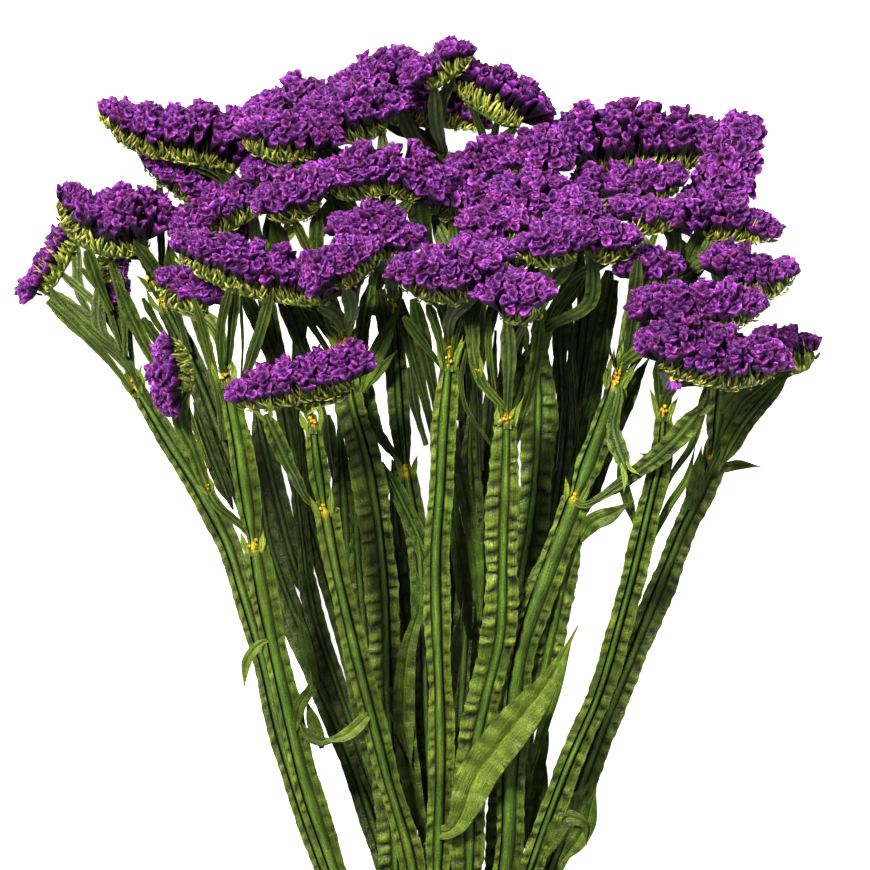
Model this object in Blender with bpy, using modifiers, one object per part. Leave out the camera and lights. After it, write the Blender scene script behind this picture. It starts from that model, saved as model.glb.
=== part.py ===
"""A bunch of dried purple statice, held by a plain tie and laid down on its side.

The frame: +Y runs along the stems from the cut ends to the flowers, +X is to the right of someone
who looks down on the bunch, and +Z is up. The origin is the middle of the tie's flat underside.
"""
import math
import random
from collections import namedtuple

import bmesh
import bpy
from mathutils import Matrix, Vector

# Driving sizes, in millimetres
MM = 0.001
CUT_END = -130.0  # how far below the tie the stems are cut
ROW_SLOPES = {"back": 0.042, "middle": 0.175, "front": 0.285}  # rise over length above the tie
ROW_SIZES = {"back": 6, "middle": 4, "front": 6}  # stems in each row at the tie
STEM_WIDTH = 4.2  # bare stem, at the tie
STEM_THICK = 3.4
STEM_GAP = 0.7
EDGE_THICK = 0.6  # edge of a wing or a leaf
WAVE_PITCH = 16.0  # half a wave of a wing's edge
WAVE_RISE = 1.1
BRANCH_STEP = 26.0
BRANCH_THICK = 2.4
LEAF_THICK = 1.6
LEAF_WAVE = 1.0
TWIG_THICK = 2.0
TIE_LENGTH = 6.0  # along the stems
TIE_THICK = 1.2
TIE_CLEARANCE = 0.6
STEM_STEPS = (45.0, 2 * TIE_LENGTH, 20.0, WAVE_PITCH)  # below, in and above the tie, and on the wings
KEEL_DEPTH = 5.0  # bracts below a spike's axis
FLOOR_DEPTH = 0.2  # the trough's floor, below the axis
BRACT_REACH = 4.6  # bracts to each side of the axis
BRACT_PITCH = 6.6
CALYX_PITCH = 6.1  # one calyx to the next along a spike, left and right in turn
CALYX_MOUTH = 4.3  # radius
CALYX_ROOT = 1.5
CORE_SHARE = 0.66  # how much of the calyces' length the core fills
CORE_PITCH = 11.0
CALYX_SIDES = 4
CALYX_CLEARANCE = 0.35  # purple above the green it stands on

# The photograph's scale, and the pixel row and column of the tie's middle
MM_PER_PIXEL = 0.36
TIE_COLUMN = 435
TIE_ROW = 1075

Stem = namedtuple("Stem", "row slot width lift line")
Head = namedtuple("Head", "stem root via spike z aim tilt height spread")
Side = namedtuple("Side", "stem line rise width")

# Each stem's row at the tie, its place in that row from the left, its width, how far its top
# stands in front of the row, and its middle line in the photograph from low to high
STEMS = {
    "stem_far_left": Stem("back", 0, 8.5, 0, [
        (322, 870), (285, 760), (258, 650), (240, 590), (226, 545), (203, 500), (165, 440), (125, 372)]),
    "stem_left": Stem("front", 0, 9.5, 0, [
        (332, 870), (300, 770), (280, 680), (263, 600), (250, 520), (238, 440), (225, 370)]),
    "stem_left_back": Stem("back", 1, 8.5, 0, [
        (385, 870), (350, 760), (320, 690), (290, 620), (258, 535), (225, 450), (185, 350), (150, 280)]),
    "stem_left_deep": Stem("back", 2, 7.5, 4, [
        (408, 870), (375, 740), (335, 600), (300, 480), (275, 350), (258, 250)]),
    "stem_left_front": Stem("front", 1, 9.0, 19, [
        (412, 870), (385, 770), (360, 670), (337, 570), (322, 490), (313, 415)]),
    "stem_centre_left": Stem("middle", 0, 12.0, 6, [
        (396, 870), (392, 760), (388, 680), (383, 560), (372, 480), (350, 390), (343, 330)]),
    "stem_centre_deep": Stem("middle", 1, 8.0, 0, [
        (432, 870), (426, 700), (418, 540), (405, 460), (398, 380), (392, 290)]),
    "stem_centre": Stem("front", 2, 9.7, 0, [
        (437, 870), (440, 780), (438, 660), (435, 580), (440, 480), (445, 400), (450, 345)]),
    "stem_top": Stem("back", 3, 8.0, 0, [
        (442, 870), (455, 700), (470, 520), (468, 380), (452, 240), (446, 165)]),
    "stem_centre_front": Stem("front", 3, 12.0, 7, [
        (470, 870), (471, 780), (486, 700), (500, 640), (503, 560), (505, 500), (507, 410)]),
    "stem_centre_back": Stem("middle", 2, 8.0, 0, [
        (462, 870), (478, 700), (496, 520), (508, 380), (518, 270)]),
    "stem_centre_right": Stem("middle", 3, 12.5, 10, [
        (500, 870), (508, 700), (520, 590), (532, 510), (538, 420), (536, 330)]),
    "stem_right_deep": Stem("back", 4, 8.0, 3, [
        (512, 870), (525, 720), (545, 590), (565, 470), (580, 360), (592, 250)]),
    "stem_right_front": Stem("front", 4, 10.5, 0, [
        (504, 870), (510, 740), (522, 640), (550, 560), (580, 480), (605, 410), (622, 360)]),
    "stem_right": Stem("front", 5, 9.0, 4, [
        (530, 870), (562, 780), (596, 700), (625, 600), (645, 520), (660, 440), (662, 395)]),
    "stem_far_right": Stem("back", 5, 9.5, 0, [
        (552, 870), (592, 760), (640, 640), (680, 540), (712, 465), (722, 400), (722, 300)]),
}

# Each flower head: its stem, the pixel row where its branch leaves that stem, the branch's way,
# the spike's axis from base to tip, its height above the floor, the direction that its flowers
# point in the photograph (90 is up), their tilt towards the camera, their length, and how far
# they spread to each side
HEADS = {
    "bloom_far_left_1": Head("stem_far_left", 385, [(85, 320)],
                             [(36, 290), (50, 265), (65, 240), (74, 224)], 7.05, 140, 0, 9, 25),
    "bloom_far_left_2": Head("stem_far_left", 385, [(97, 325)],
                             [(106, 288), (108, 250)], 15, 10, 0, 8, 22),
    "bloom_left_1": Head("stem_left_deep", 255, [(245, 200)],
                         [(236, 165), (205, 153), (150, 144), (130, 135), (107, 117)], 35, 90, 12, 14, 25),
    "bloom_left_2": Head("stem_left_back", 300, [(195, 262)],
                         [(222, 225), (200, 200), (178, 182), (152, 166)], 19, 62, 35, 12, 28),
    "bloom_left_3": Head("stem_left_deep", 290, [(205, 262)],
                         [(197, 234), (225, 219), (250, 206), (266, 200)], 34.5, 88, 15, 11, 25),
    "bloom_left_4": Head("stem_left_back", 283, [],
                         [(146, 240), (120, 245), (95, 240), (75, 226), (62, 206)], 28, 72, 10, 15, 25),
    "bloom_left_5": Head("stem_left", 380, [(222, 340)],
                         [(210, 305), (185, 302), (165, 288)], 69, 110, 10, 11, 25),
    "bloom_front_left": Head("stem_centre_left", 345, [(335, 315)],
                             [(325, 300), (300, 295), (240, 282), (215, 271), (188, 258)], 87, 90, 12, 15, 27),
    "bloom_front_left_2": Head("stem_centre_left", 350, [(352, 310)],
                               [(338, 284), (355, 272), (372, 258)], 104, 100, 20, 13, 27),
    "bloom_centre_left_1": Head("stem_left_deep", 270, [(290, 228), (290, 200)],
                                [(294, 174), (276, 177), (260, 179)], 46, 85, 25, 13, 27),
    "bloom_centre_left_2": Head("stem_centre_left", 335, [(318, 260)],
                                [(318, 200), (300, 210), (276, 214)], 76, 88, 20, 15, 27),
    "bloom_centre_left_3": Head("stem_centre_deep", 300, [(350, 220)],
                                [(314, 152), (298, 151), (272, 149), (250, 140)], 61, 90, 15, 14, 25),
    "bloom_centre_left_4": Head("stem_centre_deep", 310, [(362, 230), (325, 155)],
                                [(308, 110), (285, 114), (262, 117)], 42, 90, 15, 14, 25),
    "bloom_centre_left_5": Head("stem_centre_deep", 295, [(388, 200)],
                                [(384, 124), (350, 132), (316, 130)], 52, 90, 15, 16, 27),
    "bloom_centre_left_6": Head("stem_centre_deep", 295, [(380, 240)],
                                [(418, 196), (392, 184), (355, 190), (333, 187)], 72, 90, 20, 16, 27),
    "bloom_centre_1": Head("stem_centre_deep", 310, [(392, 280)],
                           [(398, 252), (370, 247), (343, 238)], 88, 90, 20, 15, 27),
    "bloom_top_1": Head("stem_top", 180, [(410, 130)],
                        [(398, 88), (370, 96), (346, 98)], 34, 90, 12, 15, 25),
    "bloom_top_2": Head("stem_top", 190, [(440, 150)],
                        [(380, 112), (410, 113), (445, 114), (474, 122)], 23, 90, 10, 12, 25),
    "bloom_top_3": Head("stem_top", 175, [(436, 120)],
                        [(426, 84), (441, 71), (464, 57)], 47, 135, 10, 10, 25),
    "bloom_top_4": Head("stem_top", 200, [(490, 160)],
                        [(522, 122), (500, 110), (480, 98), (460, 86)], 38, 50, -12, 13, 30),
    "bloom_centre_2": Head("stem_centre_back", 280, [(500, 225)],
                           [(532, 178), (490, 181), (461, 176)], 40, 90, 15, 16, 27),
    "bloom_centre_3": Head("stem_centre", 360, [(455, 280)],
                           [(430, 207), (460, 209), (495, 203)], 60, 88, 20, 12, 27),
    "bloom_centre_4": Head("stem_centre_back", 280, [(538, 220)],
                           [(542, 168), (532, 167), (522, 165)], 55, 85, 30, 14, 30),
    "bloom_centre_5": Head("stem_centre_back", 278, [(525, 245)],
                           [(512, 213), (530, 215), (556, 206)], 70, 85, 25, 16, 30),
    "bloom_centre_6": Head("stem_centre", 355, [(475, 290)],
                           [(478, 237), (500, 238), (516, 232)], 84, 85, 20, 12, 27),
    "bloom_centre_7": Head("stem_centre_front", 420, [(480, 380), (472, 320)],
                           [(471, 270), (484, 271), (495, 266)], 99, 88, 20, 14, 27),
    "bloom_centre_8": Head("stem_centre", 350, [(450, 320)],
                           [(478, 286), (458, 293), (430, 291), (406, 284)], 112, 90, 22, 16, 30),
    "bloom_centre_9": Head("stem_centre_front", 415, [(508, 360)],
                           [(502, 313), (517, 315), (537, 306)], 115, 88, 25, 15, 30),
    "bloom_centre_10": Head("stem_centre_right", 338, [(542, 300)],
                            [(574, 252), (558, 257), (541, 257), (525, 254)], 98, 88, 20, 12, 27),
    "bloom_centre_11": Head("stem_centre_right", 345, [(570, 280)],
                            [(583, 224), (572, 231), (559, 229)], 82, 85, 30, 12, 30),
    "bloom_centre_12": Head("stem_centre_right", 350, [(590, 300)],
                            [(588, 250), (605, 253), (626, 246)], 93, 85, 20, 12, 27),
    "bloom_right_1": Head("stem_right_deep", 270, [(588, 210)],
                          [(578, 165), (600, 163), (640, 158), (685, 157), (705, 152)], 32, 92, 12, 16, 25),
    "bloom_right_2": Head("stem_right_deep", 280, [(600, 225)],
                          [(594, 196), (615, 197), (645, 195), (672, 188)], 52, 90, 15, 12, 25),
    "bloom_right_3": Head("stem_right_front", 375, [(632, 300), (645, 250)],
                          [(627, 222), (650, 224), (670, 218)], 71, 88, 18, 10, 25),
    "bloom_right_4": Head("stem_far_right", 320, [(715, 250)],
                          [(712, 216), (722, 195), (735, 162), (745, 128)], 46, 180, 75, 12, 50),
    "bloom_right_5": Head("stem_right_front", 372, [(680, 290), (700, 260)],
                          [(703, 232), (735, 230), (765, 235)], 70, 90, 15, 12, 25),
    "bloom_right_6": Head("stem_right_front", 378, [(690, 330), (718, 305)],
                          [(727, 283), (760, 289), (784, 279)], 84, 88, 15, 13, 25),
    "bloom_right_7": Head("stem_right_front", 380, [(638, 320)],
                          [(636, 281), (655, 281), (671, 273)], 84, 88, 20, 12, 27),
    "bloom_right_8": Head("stem_right_front", 372, [(645, 345)],
                          [(652, 325), (680, 326), (715, 322), (748, 314)], 100, 92, 20, 15, 27),
    "bloom_right_9": Head("stem_right", 410, [(668, 385)],
                          [(657, 362), (690, 371), (725, 378), (765, 372)], 115, 90, 22, 15, 27),
    "bloom_far_right": Head("stem_far_right", 455, [(755, 410), (772, 385)],
                            [(776, 362), (795, 362), (812, 354)], 7.9, 90, 0, 13, 25),
    "bloom_low_1": Head("stem_left", 545, [(215, 500), (195, 450), (182, 415)],
                        [(184, 392), (183, 370), (178, 350)], 92, 175, 10, 12, 25),
    "bloom_low_2": Head("stem_left_front", 425, [(310, 415)],
                        [(352, 381), (335, 385), (300, 392), (265, 399), (245, 402)], 101, 92, 18, 13, 27),
}

# Leaves: the stem that each grows from, its line from base to tip, the height of its base and
# tip above that stem, and its width
LEAVES = [
    Side("stem_centre", [(447, 832), (480, 770), (510, 730), (545, 685), (577, 625)], (3, 15), 13.5),
    Side("stem_far_right", [(562, 845), (574, 815), (598, 778)], (0.5, 1), 8.0),
    Side("stem_far_right", [(718, 468), (740, 465), (764, 467)], (0, 1), 3.5),
    Side("stem_far_right", [(719, 455), (728, 430), (739, 404)], (0, 2), 4.0),
    Side("stem_left", [(268, 640), (250, 655), (244, 690)], (0.5, 2), 3.5),
    Side("stem_left_front", [(372, 715), (345, 735), (318, 742)], (0.5, 3), 4.5),
    Side("stem_centre_left", [(388, 690), (400, 715), (412, 770)], (1, 6), 6.5),
]

# Winged twigs that carry no flowers, given in the same way
TWIGS = [
    Side("stem_left_front", [(316, 505), (296, 475), (268, 415)], (0.5, 14), 6.0),
    Side("stem_right_front", [(575, 500), (630, 475), (668, 445), (700, 408)], (1, 15), 7.5),
    Side("stem_centre_deep", [(408, 470), (372, 420), (366, 380)], (0, 1), 6.0),
    Side("stem_right_front", [(616, 385), (612, 430), (625, 470)], (1, 9), 6.0),
]

COLOURS = {
    "purple": (0.16, 0.03, 0.33),
    "green": (0.12, 0.19, 0.04),
    "straw": (0.42, 0.30, 0.14),
}


def clear_scene():
    for thing in list(bpy.data.objects):
        bpy.data.objects.remove(thing, do_unlink=True)


def plain_material(name):
    made = bpy.data.materials.new(name)
    made.use_nodes = True
    shader = made.node_tree.nodes["Principled BSDF"]
    shader.inputs["Base Color"].default_value = (*COLOURS[name], 1.0)
    shader.inputs["Roughness"].default_value = 0.8
    shader.inputs["Metallic"].default_value = 0.0
    return made


# Paths

def smooth_line(points, spacing):
    """Points at an even spacing along a smooth curve through the given points."""
    chords = [(b - a).length for a, b in zip(points, points[1:])]
    runs = [(b - a) / chord for a, b, chord in zip(points, points[1:], chords)]
    slopes = [runs[0]]
    for at in range(1, len(runs)):
        before, after = chords[at - 1], chords[at]
        slopes.append((runs[at - 1] * after + runs[at] * before) / (before + after))
    slopes.append(runs[-1])
    fine = []
    for a, b, chord, leave, arrive in zip(points, points[1:], chords, slopes, slopes[1:]):
        for step in range(12):
            t = step / 12
            blend = t * t * (3 - 2 * t)
            fine.append(a.lerp(b, blend) + leave * chord * t * (1 - t) ** 2 - arrive * chord * t * t * (1 - t))
    fine.append(points[-1].copy())
    reach = [0.0]
    for a, b in zip(fine, fine[1:]):
        reach.append(reach[-1] + (b - a).length)
    count = max(1, round(reach[-1] / spacing))
    result = []
    at = 0
    for step in range(count + 1):
        goal = reach[-1] * step / count
        while at < len(fine) - 2 and reach[at + 1] < goal:
            at += 1
        share = (goal - reach[at]) / max(reach[at + 1] - reach[at], 1e-9)
        result.append(fine[at].lerp(fine[at + 1], min(share, 1.0)))
    return result


def tangents(line):
    result = []
    for at in range(len(line)):
        before = line[max(at - 1, 0)]
        after = line[min(at + 1, len(line) - 1)]
        result.append((after - before).normalized())
    return result


def photo_point(pixel, height):
    column, row = pixel
    return Vector(((column - TIE_COLUMN) * MM_PER_PIXEL, (TIE_ROW - row) * MM_PER_PIXEL, height))


def ease(value, low, high):
    share = min(max((value - low) / (high - low), 0.0), 1.0)
    return share * share * (3 - 2 * share)


def row_height(row):
    """Height of a row's stems above the floor, at the tie."""
    place = list(ROW_SLOPES).index(row)
    return TIE_THICK + TIE_CLEARANCE + STEM_THICK / 2 + place * (STEM_THICK + STEM_GAP)


def stem_points(stem):
    """The stem's middle line from its cut end to its top."""
    slope = ROW_SLOPES[stem.row]
    base = row_height(stem.row)
    side = (stem.slot - (ROW_SIZES[stem.row] - 1) / 2) * (STEM_WIDTH + STEM_GAP)
    cut = CUT_END + 9 * math.sin(2.1 * side + base)
    points = [Vector((side * 1.35, cut, base - slope * cut * 0.12)),
              Vector((side * 1.1, cut / 2, base - slope * cut * 0.03)),
              Vector((side, -TIE_LENGTH, base)), Vector((side, TIE_LENGTH, base))]
    top = photo_point(stem.line[-1], 0).y
    for pixel in stem.line:
        point = photo_point(pixel, 0)
        point.z = base + slope * point.y + stem.lift * ease(point.y, 60, top)
        points.append(point)
    return points


def stem_at(stem, row):
    """The point of the stem's middle line at a pixel row of the photograph."""
    goal = (TIE_ROW - row) * MM_PER_PIXEL
    line = smooth_line(stem_points(stem), 3.0)
    return min(line, key=lambda point: abs(point.y - goal))


# Meshes

def as_object(made, name, material):
    bmesh.ops.recalc_face_normals(made, faces=made.faces)
    bmesh.ops.triangulate(made, faces=made.faces)
    bmesh.ops.scale(made, vec=(MM, MM, MM), verts=made.verts)
    mesh = bpy.data.meshes.new(name)
    made.to_mesh(mesh)
    made.free()
    mesh.materials.append(material)
    result = bpy.data.objects.new(name, mesh)
    return result


def loft(rings, name, material):
    """A closed body through rings of points, each ring's first half its upper side.

    The lower side is split along the same diagonals as the upper, so a thin blade never crosses
    itself where it waves.
    """
    made = bmesh.new()
    rows = [[made.verts.new(point) for point in ring] for ring in rings]
    count = len(rings[0])
    for near, far in zip(rows, rows[1:]):
        for at in range(count):
            after = (at + 1) % count
            if at < count / 2:
                made.faces.new((near[at], near[after], far[after]))
                made.faces.new((near[at], far[after], far[at]))
            else:
                made.faces.new((near[at], near[after], far[at]))
                made.faces.new((near[after], far[after], far[at]))
    made.faces.new(rows[0])
    made.faces.new(rows[-1][::-1])
    return as_object(made, name, material)


def blade_ring(centre, along, up, width, thick, waves):
    """Six points across a blade with a rib: left, middle, right, and back underneath."""
    side = along.cross(up).normalized()
    up = side.cross(along).normalized()
    edge = EDGE_THICK / 2
    left = centre - side * width / 2 + up * waves[0]
    right = centre + side * width / 2 + up * waves[1]
    return [left + up * edge, centre + up * thick / 2, right + up * edge,
            right - up * edge, centre - up * thick / 2, left - up * edge]


def blade(points, width_at, thick_at, spacing, wave, name, material):
    """A ribbed blade along a line. The widths and the wave's rise are functions of the share."""
    line = smooth_line(points, spacing)
    rings = []
    for at, (centre, along) in enumerate(zip(line, tangents(line))):
        share = at / (len(line) - 1)
        rise = wave(share) * (1 if at % 2 else -1)
        ring = blade_ring(centre, along, Vector((0, 0, 1)), width_at(share), thick_at(share), (rise, -rise * 0.8))
        rings.append(ring)
    return loft(rings, name, material)


def fuse(pieces, name, collection):
    """One object of overlapping pieces. MANIFOLD, as EXACT is slow on this many repeats."""
    first, *others = pieces
    collection.objects.link(first)
    first.name = name
    if others:
        group = bpy.data.collections.new(name + "_repeats")
        bpy.context.scene.collection.children.link(group)
        for other in others:
            group.objects.link(other)
        union = first.modifiers.new("union", "BOOLEAN")
        union.operation = "UNION"
        union.operand_type = "COLLECTION"
        union.collection = group
        union.solver = "MANIFOLD"
        ready = first.evaluated_get(bpy.context.evaluated_depsgraph_get())
        mesh = bpy.data.meshes.new_from_object(ready)
        first.modifiers.clear()
        first.data = mesh
        for other in others:
            bpy.data.objects.remove(other, do_unlink=True)
        bpy.data.collections.remove(group)
    first.data.name = name
    return first


# Green: stems, branches, leaves and the combs of bracts

def stem_body(name, stem, material):
    points = stem_points(stem)
    fine = smooth_line(points, 2.0)
    joins = [min(range(len(fine)), key=lambda at: (fine[at] - point).length) for point in points[2:5]]
    line = []
    for low, high, step in zip([0] + joins, joins + [len(fine) - 1], STEM_STEPS):
        line += smooth_line(fine[low:high + 1], step)[:-1]
    line.append(fine[-1])
    rings = []
    top = line[-1].y
    for at, (centre, along) in enumerate(zip(line, tangents(line))):
        full = stem.width * (1 - 0.35 * ease(centre.y, top - 35, top))
        width = STEM_WIDTH + (full - STEM_WIDTH) * ease(centre.y, 34, 110)
        rise = WAVE_RISE * ease(centre.y, 60, 110) * (1 if at % 2 else -1)
        ring = blade_ring(centre, along, Vector((0, 0, 1)), width * (1 + 0.06 * (at % 2)), STEM_THICK,
                          (rise, -rise * 0.8))
        rings.append(ring)
    return loft(rings, name, material)


def spike_frames(head, spacing):
    """Centre, direction, and the way the flowers point, along a head's spike."""
    points = [photo_point(pixel, head.z) for pixel in head.spike]
    line = smooth_line(points, spacing)
    aim = math.radians(head.aim)
    tilt = math.radians(head.tilt)
    facing = Vector((math.cos(aim) * math.cos(tilt), math.sin(aim) * math.cos(tilt), math.sin(tilt)))
    frames = []
    for centre, along in zip(line, tangents(line)):
        up = (facing - along * facing.dot(along)).normalized()
        frames.append((centre, along, up))
    return frames


def bract_comb(head, material):
    """The green trough under a spike, its rims cut into a comb of bracts."""
    rings = []
    frames = spike_frames(head, BRACT_PITCH)
    last = len(frames) - 1
    for at, (centre, along, up) in enumerate(frames):
        side = along.cross(up)
        share = at / last
        full = (0.55 + 0.45 * ease(share, 0, 0.2)) * (1 - 0.55 * ease(share, 0.7, 1))
        tooth = at % 2
        reach = (BRACT_REACH * full) * (1.0 if tooth else 0.72)
        rim = -0.1 if tooth else -2.0
        rings.append([centre - side * reach + up * rim, centre - up * FLOOR_DEPTH, centre + side * reach + up * rim,
                      centre - up * KEEL_DEPTH * full])
    return loft(rings, "comb", material)


def head_branch(stem, head, material):
    """The winged branch from the stem to the head's base, wider towards the flowers."""
    root = stem_at(stem, head.root)
    centre, along, up = spike_frames(head, BRACT_PITCH)[0]
    end = centre - up * 2.4 + along * 3.0
    below = centre - up * 6.0
    pixels = [photo_point(pixel, 0) for pixel in head.via]
    way = [root - Vector((0, 4, 0)), root] + pixels + [below, end]
    reach = sum((b - a).length for a, b in zip([root] + pixels, pixels + [below]))
    gone = 0.0
    before = root
    for point in pixels:
        gone += (point - before).length
        before = point.copy()
        point.z = root.z + (below.z - root.z) * gone / max(reach, 1e-6)
    line = smooth_line(way, BRANCH_STEP)
    rings = []
    for at, (centre, along) in enumerate(zip(line, tangents(line))):
        share = at / (len(line) - 1)
        width = 2.8 + 2.6 * ease(share, 0.1, 0.7) - 2.0 * ease(share, 0.8, 1)
        thick = BRANCH_THICK * (1 - 0.2 * share)
        left, top, right, _, bottom, _ = blade_ring(centre, along, Vector((0, 0, 1)), width, thick, (-0.3, -0.3))
        rings.append([left, top, right, bottom])
    return loft(rings, "branch", material)


def side_blade(stem, spec, thick, wave, material):
    """A leaf or a bare twig from the stem: its line, from the base to the tip."""
    root = stem_at(stem, spec.line[0][1])
    low, high = spec.rise
    full = spec.width
    points = [root]
    for at, pixel in enumerate(spec.line):
        share = at / (len(spec.line) - 1)
        point = photo_point(pixel, root.z + low + (high - low) * share)
        point.z += (point.y - root.y) * ROW_SLOPES[stem.row]
        if (point - points[-1]).length > EDGE_THICK:
            points.append(point)

    def width_at(share):
        return full * (0.3 + 0.7 * ease(share, 0, 0.35)) * (1 - 0.82 * ease(share, 0.55, 1))

    return blade(points, width_at, lambda share: thick - 0.5 * thick * share, WAVE_PITCH,
                 lambda share: wave * math.sin(math.pi * share), "side", material)


# Purple: spikes of papery calyces

def calyx(root, mouth, wide, name, material):
    made = bmesh.new()
    axis = mouth - root
    place = Matrix.Translation((root + mouth) / 2) @ axis.to_track_quat("Z", "Y").to_matrix().to_4x4()
    bmesh.ops.create_cone(made, cap_ends=True, segments=CALYX_SIDES, radius1=CALYX_ROOT, radius2=wide,
                          depth=axis.length, matrix=place)
    return as_object(made, name, material)


def bloom(name, head, material, collection):
    """One spike: a slim core, with funnel-shaped calyces that stand out of it in two rows."""
    draw = random.Random(name)
    core = []
    frames = spike_frames(head, CORE_PITCH)
    last = len(frames) - 1
    for at, (centre, along, up) in enumerate(frames):
        side = along.cross(up)
        inset = 0.75 if at in (0, last) else 1.0
        low = CALYX_CLEARANCE
        high = head.height * CORE_SHARE * inset
        reach = math.sin(math.radians(head.spread)) * high
        core.append([centre - side * (reach + 1.2) + up * high, centre + side * (reach + 1.2) + up * high,
                     centre + side * 1.6 + up * low, centre - side * 1.6 + up * low])
    pieces = [loft(core, name, material)]
    frames = spike_frames(head, CALYX_PITCH)
    last = len(frames) - 1
    for at, (centre, along, up) in enumerate(frames):
        side = along.cross(up) * (1 if at % 2 else -1)
        fan = math.radians(head.spread * draw.uniform(0.75, 1.1))
        lean = draw.uniform(-0.15, 0.2) + 0.55 * ((at > last - 1) - (at < 1))
        way = (up * math.cos(fan) + side * math.sin(fan) + along * lean).normalized()
        tip = 1 - 0.25 * ease(at / last, 0.75, 1)
        length = head.height * draw.uniform(0.88, 1.05) * tip
        root = centre + up * (CALYX_CLEARANCE + 0.12 * head.height)
        pieces.append(calyx(root, root + way * length * 0.87, CALYX_MOUTH * draw.uniform(0.85, 1.05),
                            "calyx", material))
    return fuse(pieces, name, collection)


# The tie

def tie(material, collection):
    """A flat band round all the stems, with a flat underside that rests on the floor."""
    widest = max(ROW_SIZES.values())
    half_width = (widest * STEM_WIDTH + (widest - 1) * STEM_GAP) / 2 + TIE_CLEARANCE
    half_height = (3 * STEM_THICK + 2 * STEM_GAP) / 2 + TIE_CLEARANCE
    corner = 3.0
    made = bmesh.new()
    loop = []
    for turn in range(4):
        middle = Vector(((half_width - corner) * (1, -1, -1, 1)[turn], 0,
                         TIE_THICK + half_height + (half_height - corner) * (1, 1, -1, -1)[turn]))
        for step in range(4):
            angle = math.pi / 2 * (turn + step / 3)
            loop.append(made.verts.new(middle + Vector((math.cos(angle), 0, math.sin(angle))) * corner))
    edges = [made.edges.new((a, b)) for a, b in zip(loop, loop[1:] + loop[:1])]
    bmesh.ops.translate(made, vec=(0, -TIE_LENGTH / 2, 0), verts=made.verts)
    grown = bmesh.ops.extrude_edge_only(made, edges=edges)["geom"]
    fresh = [part for part in grown if isinstance(part, bmesh.types.BMVert)]
    bmesh.ops.translate(made, vec=(0, TIE_LENGTH, 0), verts=fresh)
    bmesh.ops.recalc_face_normals(made, faces=made.faces)
    bmesh.ops.scale(made, vec=(MM, MM, MM), verts=made.verts)
    mesh = bpy.data.meshes.new("tie")
    made.to_mesh(mesh)
    made.free()
    mesh.materials.append(material)
    band = bpy.data.objects.new("tie", mesh)
    collection.objects.link(band)
    wall = band.modifiers.new("wall", "SOLIDIFY")
    wall.thickness = TIE_THICK * MM
    wall.offset = 1.0
    wall.use_even_offset = True
    return band


def build():
    clear_scene()
    collection = bpy.data.collections.new("dried_statice")
    bpy.context.scene.collection.children.link(collection)
    purple = plain_material("purple")
    green = plain_material("green")
    straw = plain_material("straw")
    for name, stem in STEMS.items():
        pieces = [stem_body(name, stem, green)]
        for head in HEADS.values():
            if head.stem == name:
                pieces.append(head_branch(stem, head, green))
                pieces.append(bract_comb(head, green))
        for leaf in LEAVES:
            if leaf.stem == name:
                pieces.append(side_blade(stem, leaf, LEAF_THICK, LEAF_WAVE, green))
        for twig in TWIGS:
            if twig.stem == name:
                pieces.append(side_blade(stem, twig, TWIG_THICK, LEAF_WAVE / 2, green))
        fuse(pieces, name, collection)
    for name, head in HEADS.items():
        bloom(name, head, purple, collection)
    tie(straw, collection)


build()
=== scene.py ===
"""The looks of a bunch of dried purple statice, laid on its side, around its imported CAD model.

Lengths are in millimetres until a mesh is made. +Y runs from the cut ends to the flowers and +Z is
up, towards the camera. Each piece stands for one node of the CAD model and follows the same lines.
"""
import math
import random
from collections import namedtuple

import bpy
import numpy as np
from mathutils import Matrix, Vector


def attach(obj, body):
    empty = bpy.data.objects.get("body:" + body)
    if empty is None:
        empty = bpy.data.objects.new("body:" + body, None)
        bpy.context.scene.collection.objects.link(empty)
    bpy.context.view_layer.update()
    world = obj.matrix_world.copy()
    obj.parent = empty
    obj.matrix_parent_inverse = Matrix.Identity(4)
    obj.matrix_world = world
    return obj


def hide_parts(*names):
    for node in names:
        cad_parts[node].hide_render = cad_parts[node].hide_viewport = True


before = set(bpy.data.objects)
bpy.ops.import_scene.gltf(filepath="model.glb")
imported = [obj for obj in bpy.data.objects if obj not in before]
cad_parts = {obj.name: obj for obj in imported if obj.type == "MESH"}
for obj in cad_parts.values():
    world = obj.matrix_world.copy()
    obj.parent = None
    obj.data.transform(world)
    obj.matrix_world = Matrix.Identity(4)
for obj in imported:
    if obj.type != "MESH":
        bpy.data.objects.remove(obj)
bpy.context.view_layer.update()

# The layout, as in the CAD source
MM = 0.001
CUT_END = -130.0
ROW_SLOPES = {"back": 0.042, "middle": 0.175, "front": 0.285}
ROW_SIZES = {"back": 6, "middle": 4, "front": 6}
STEM_WIDTH = 4.2
STEM_THICK = 3.4
STEM_GAP = 0.7
TIE_LENGTH = 6.0
TIE_THICK = 1.2
TIE_CLEARANCE = 0.6
MM_PER_PIXEL = 0.36
TIE_COLUMN = 435
TIE_ROW = 1075

Stem = namedtuple("Stem", "row slot width lift line")
Head = namedtuple("Head", "stem root via spike z aim tilt height spread")
Side = namedtuple("Side", "stem line rise width")

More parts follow.
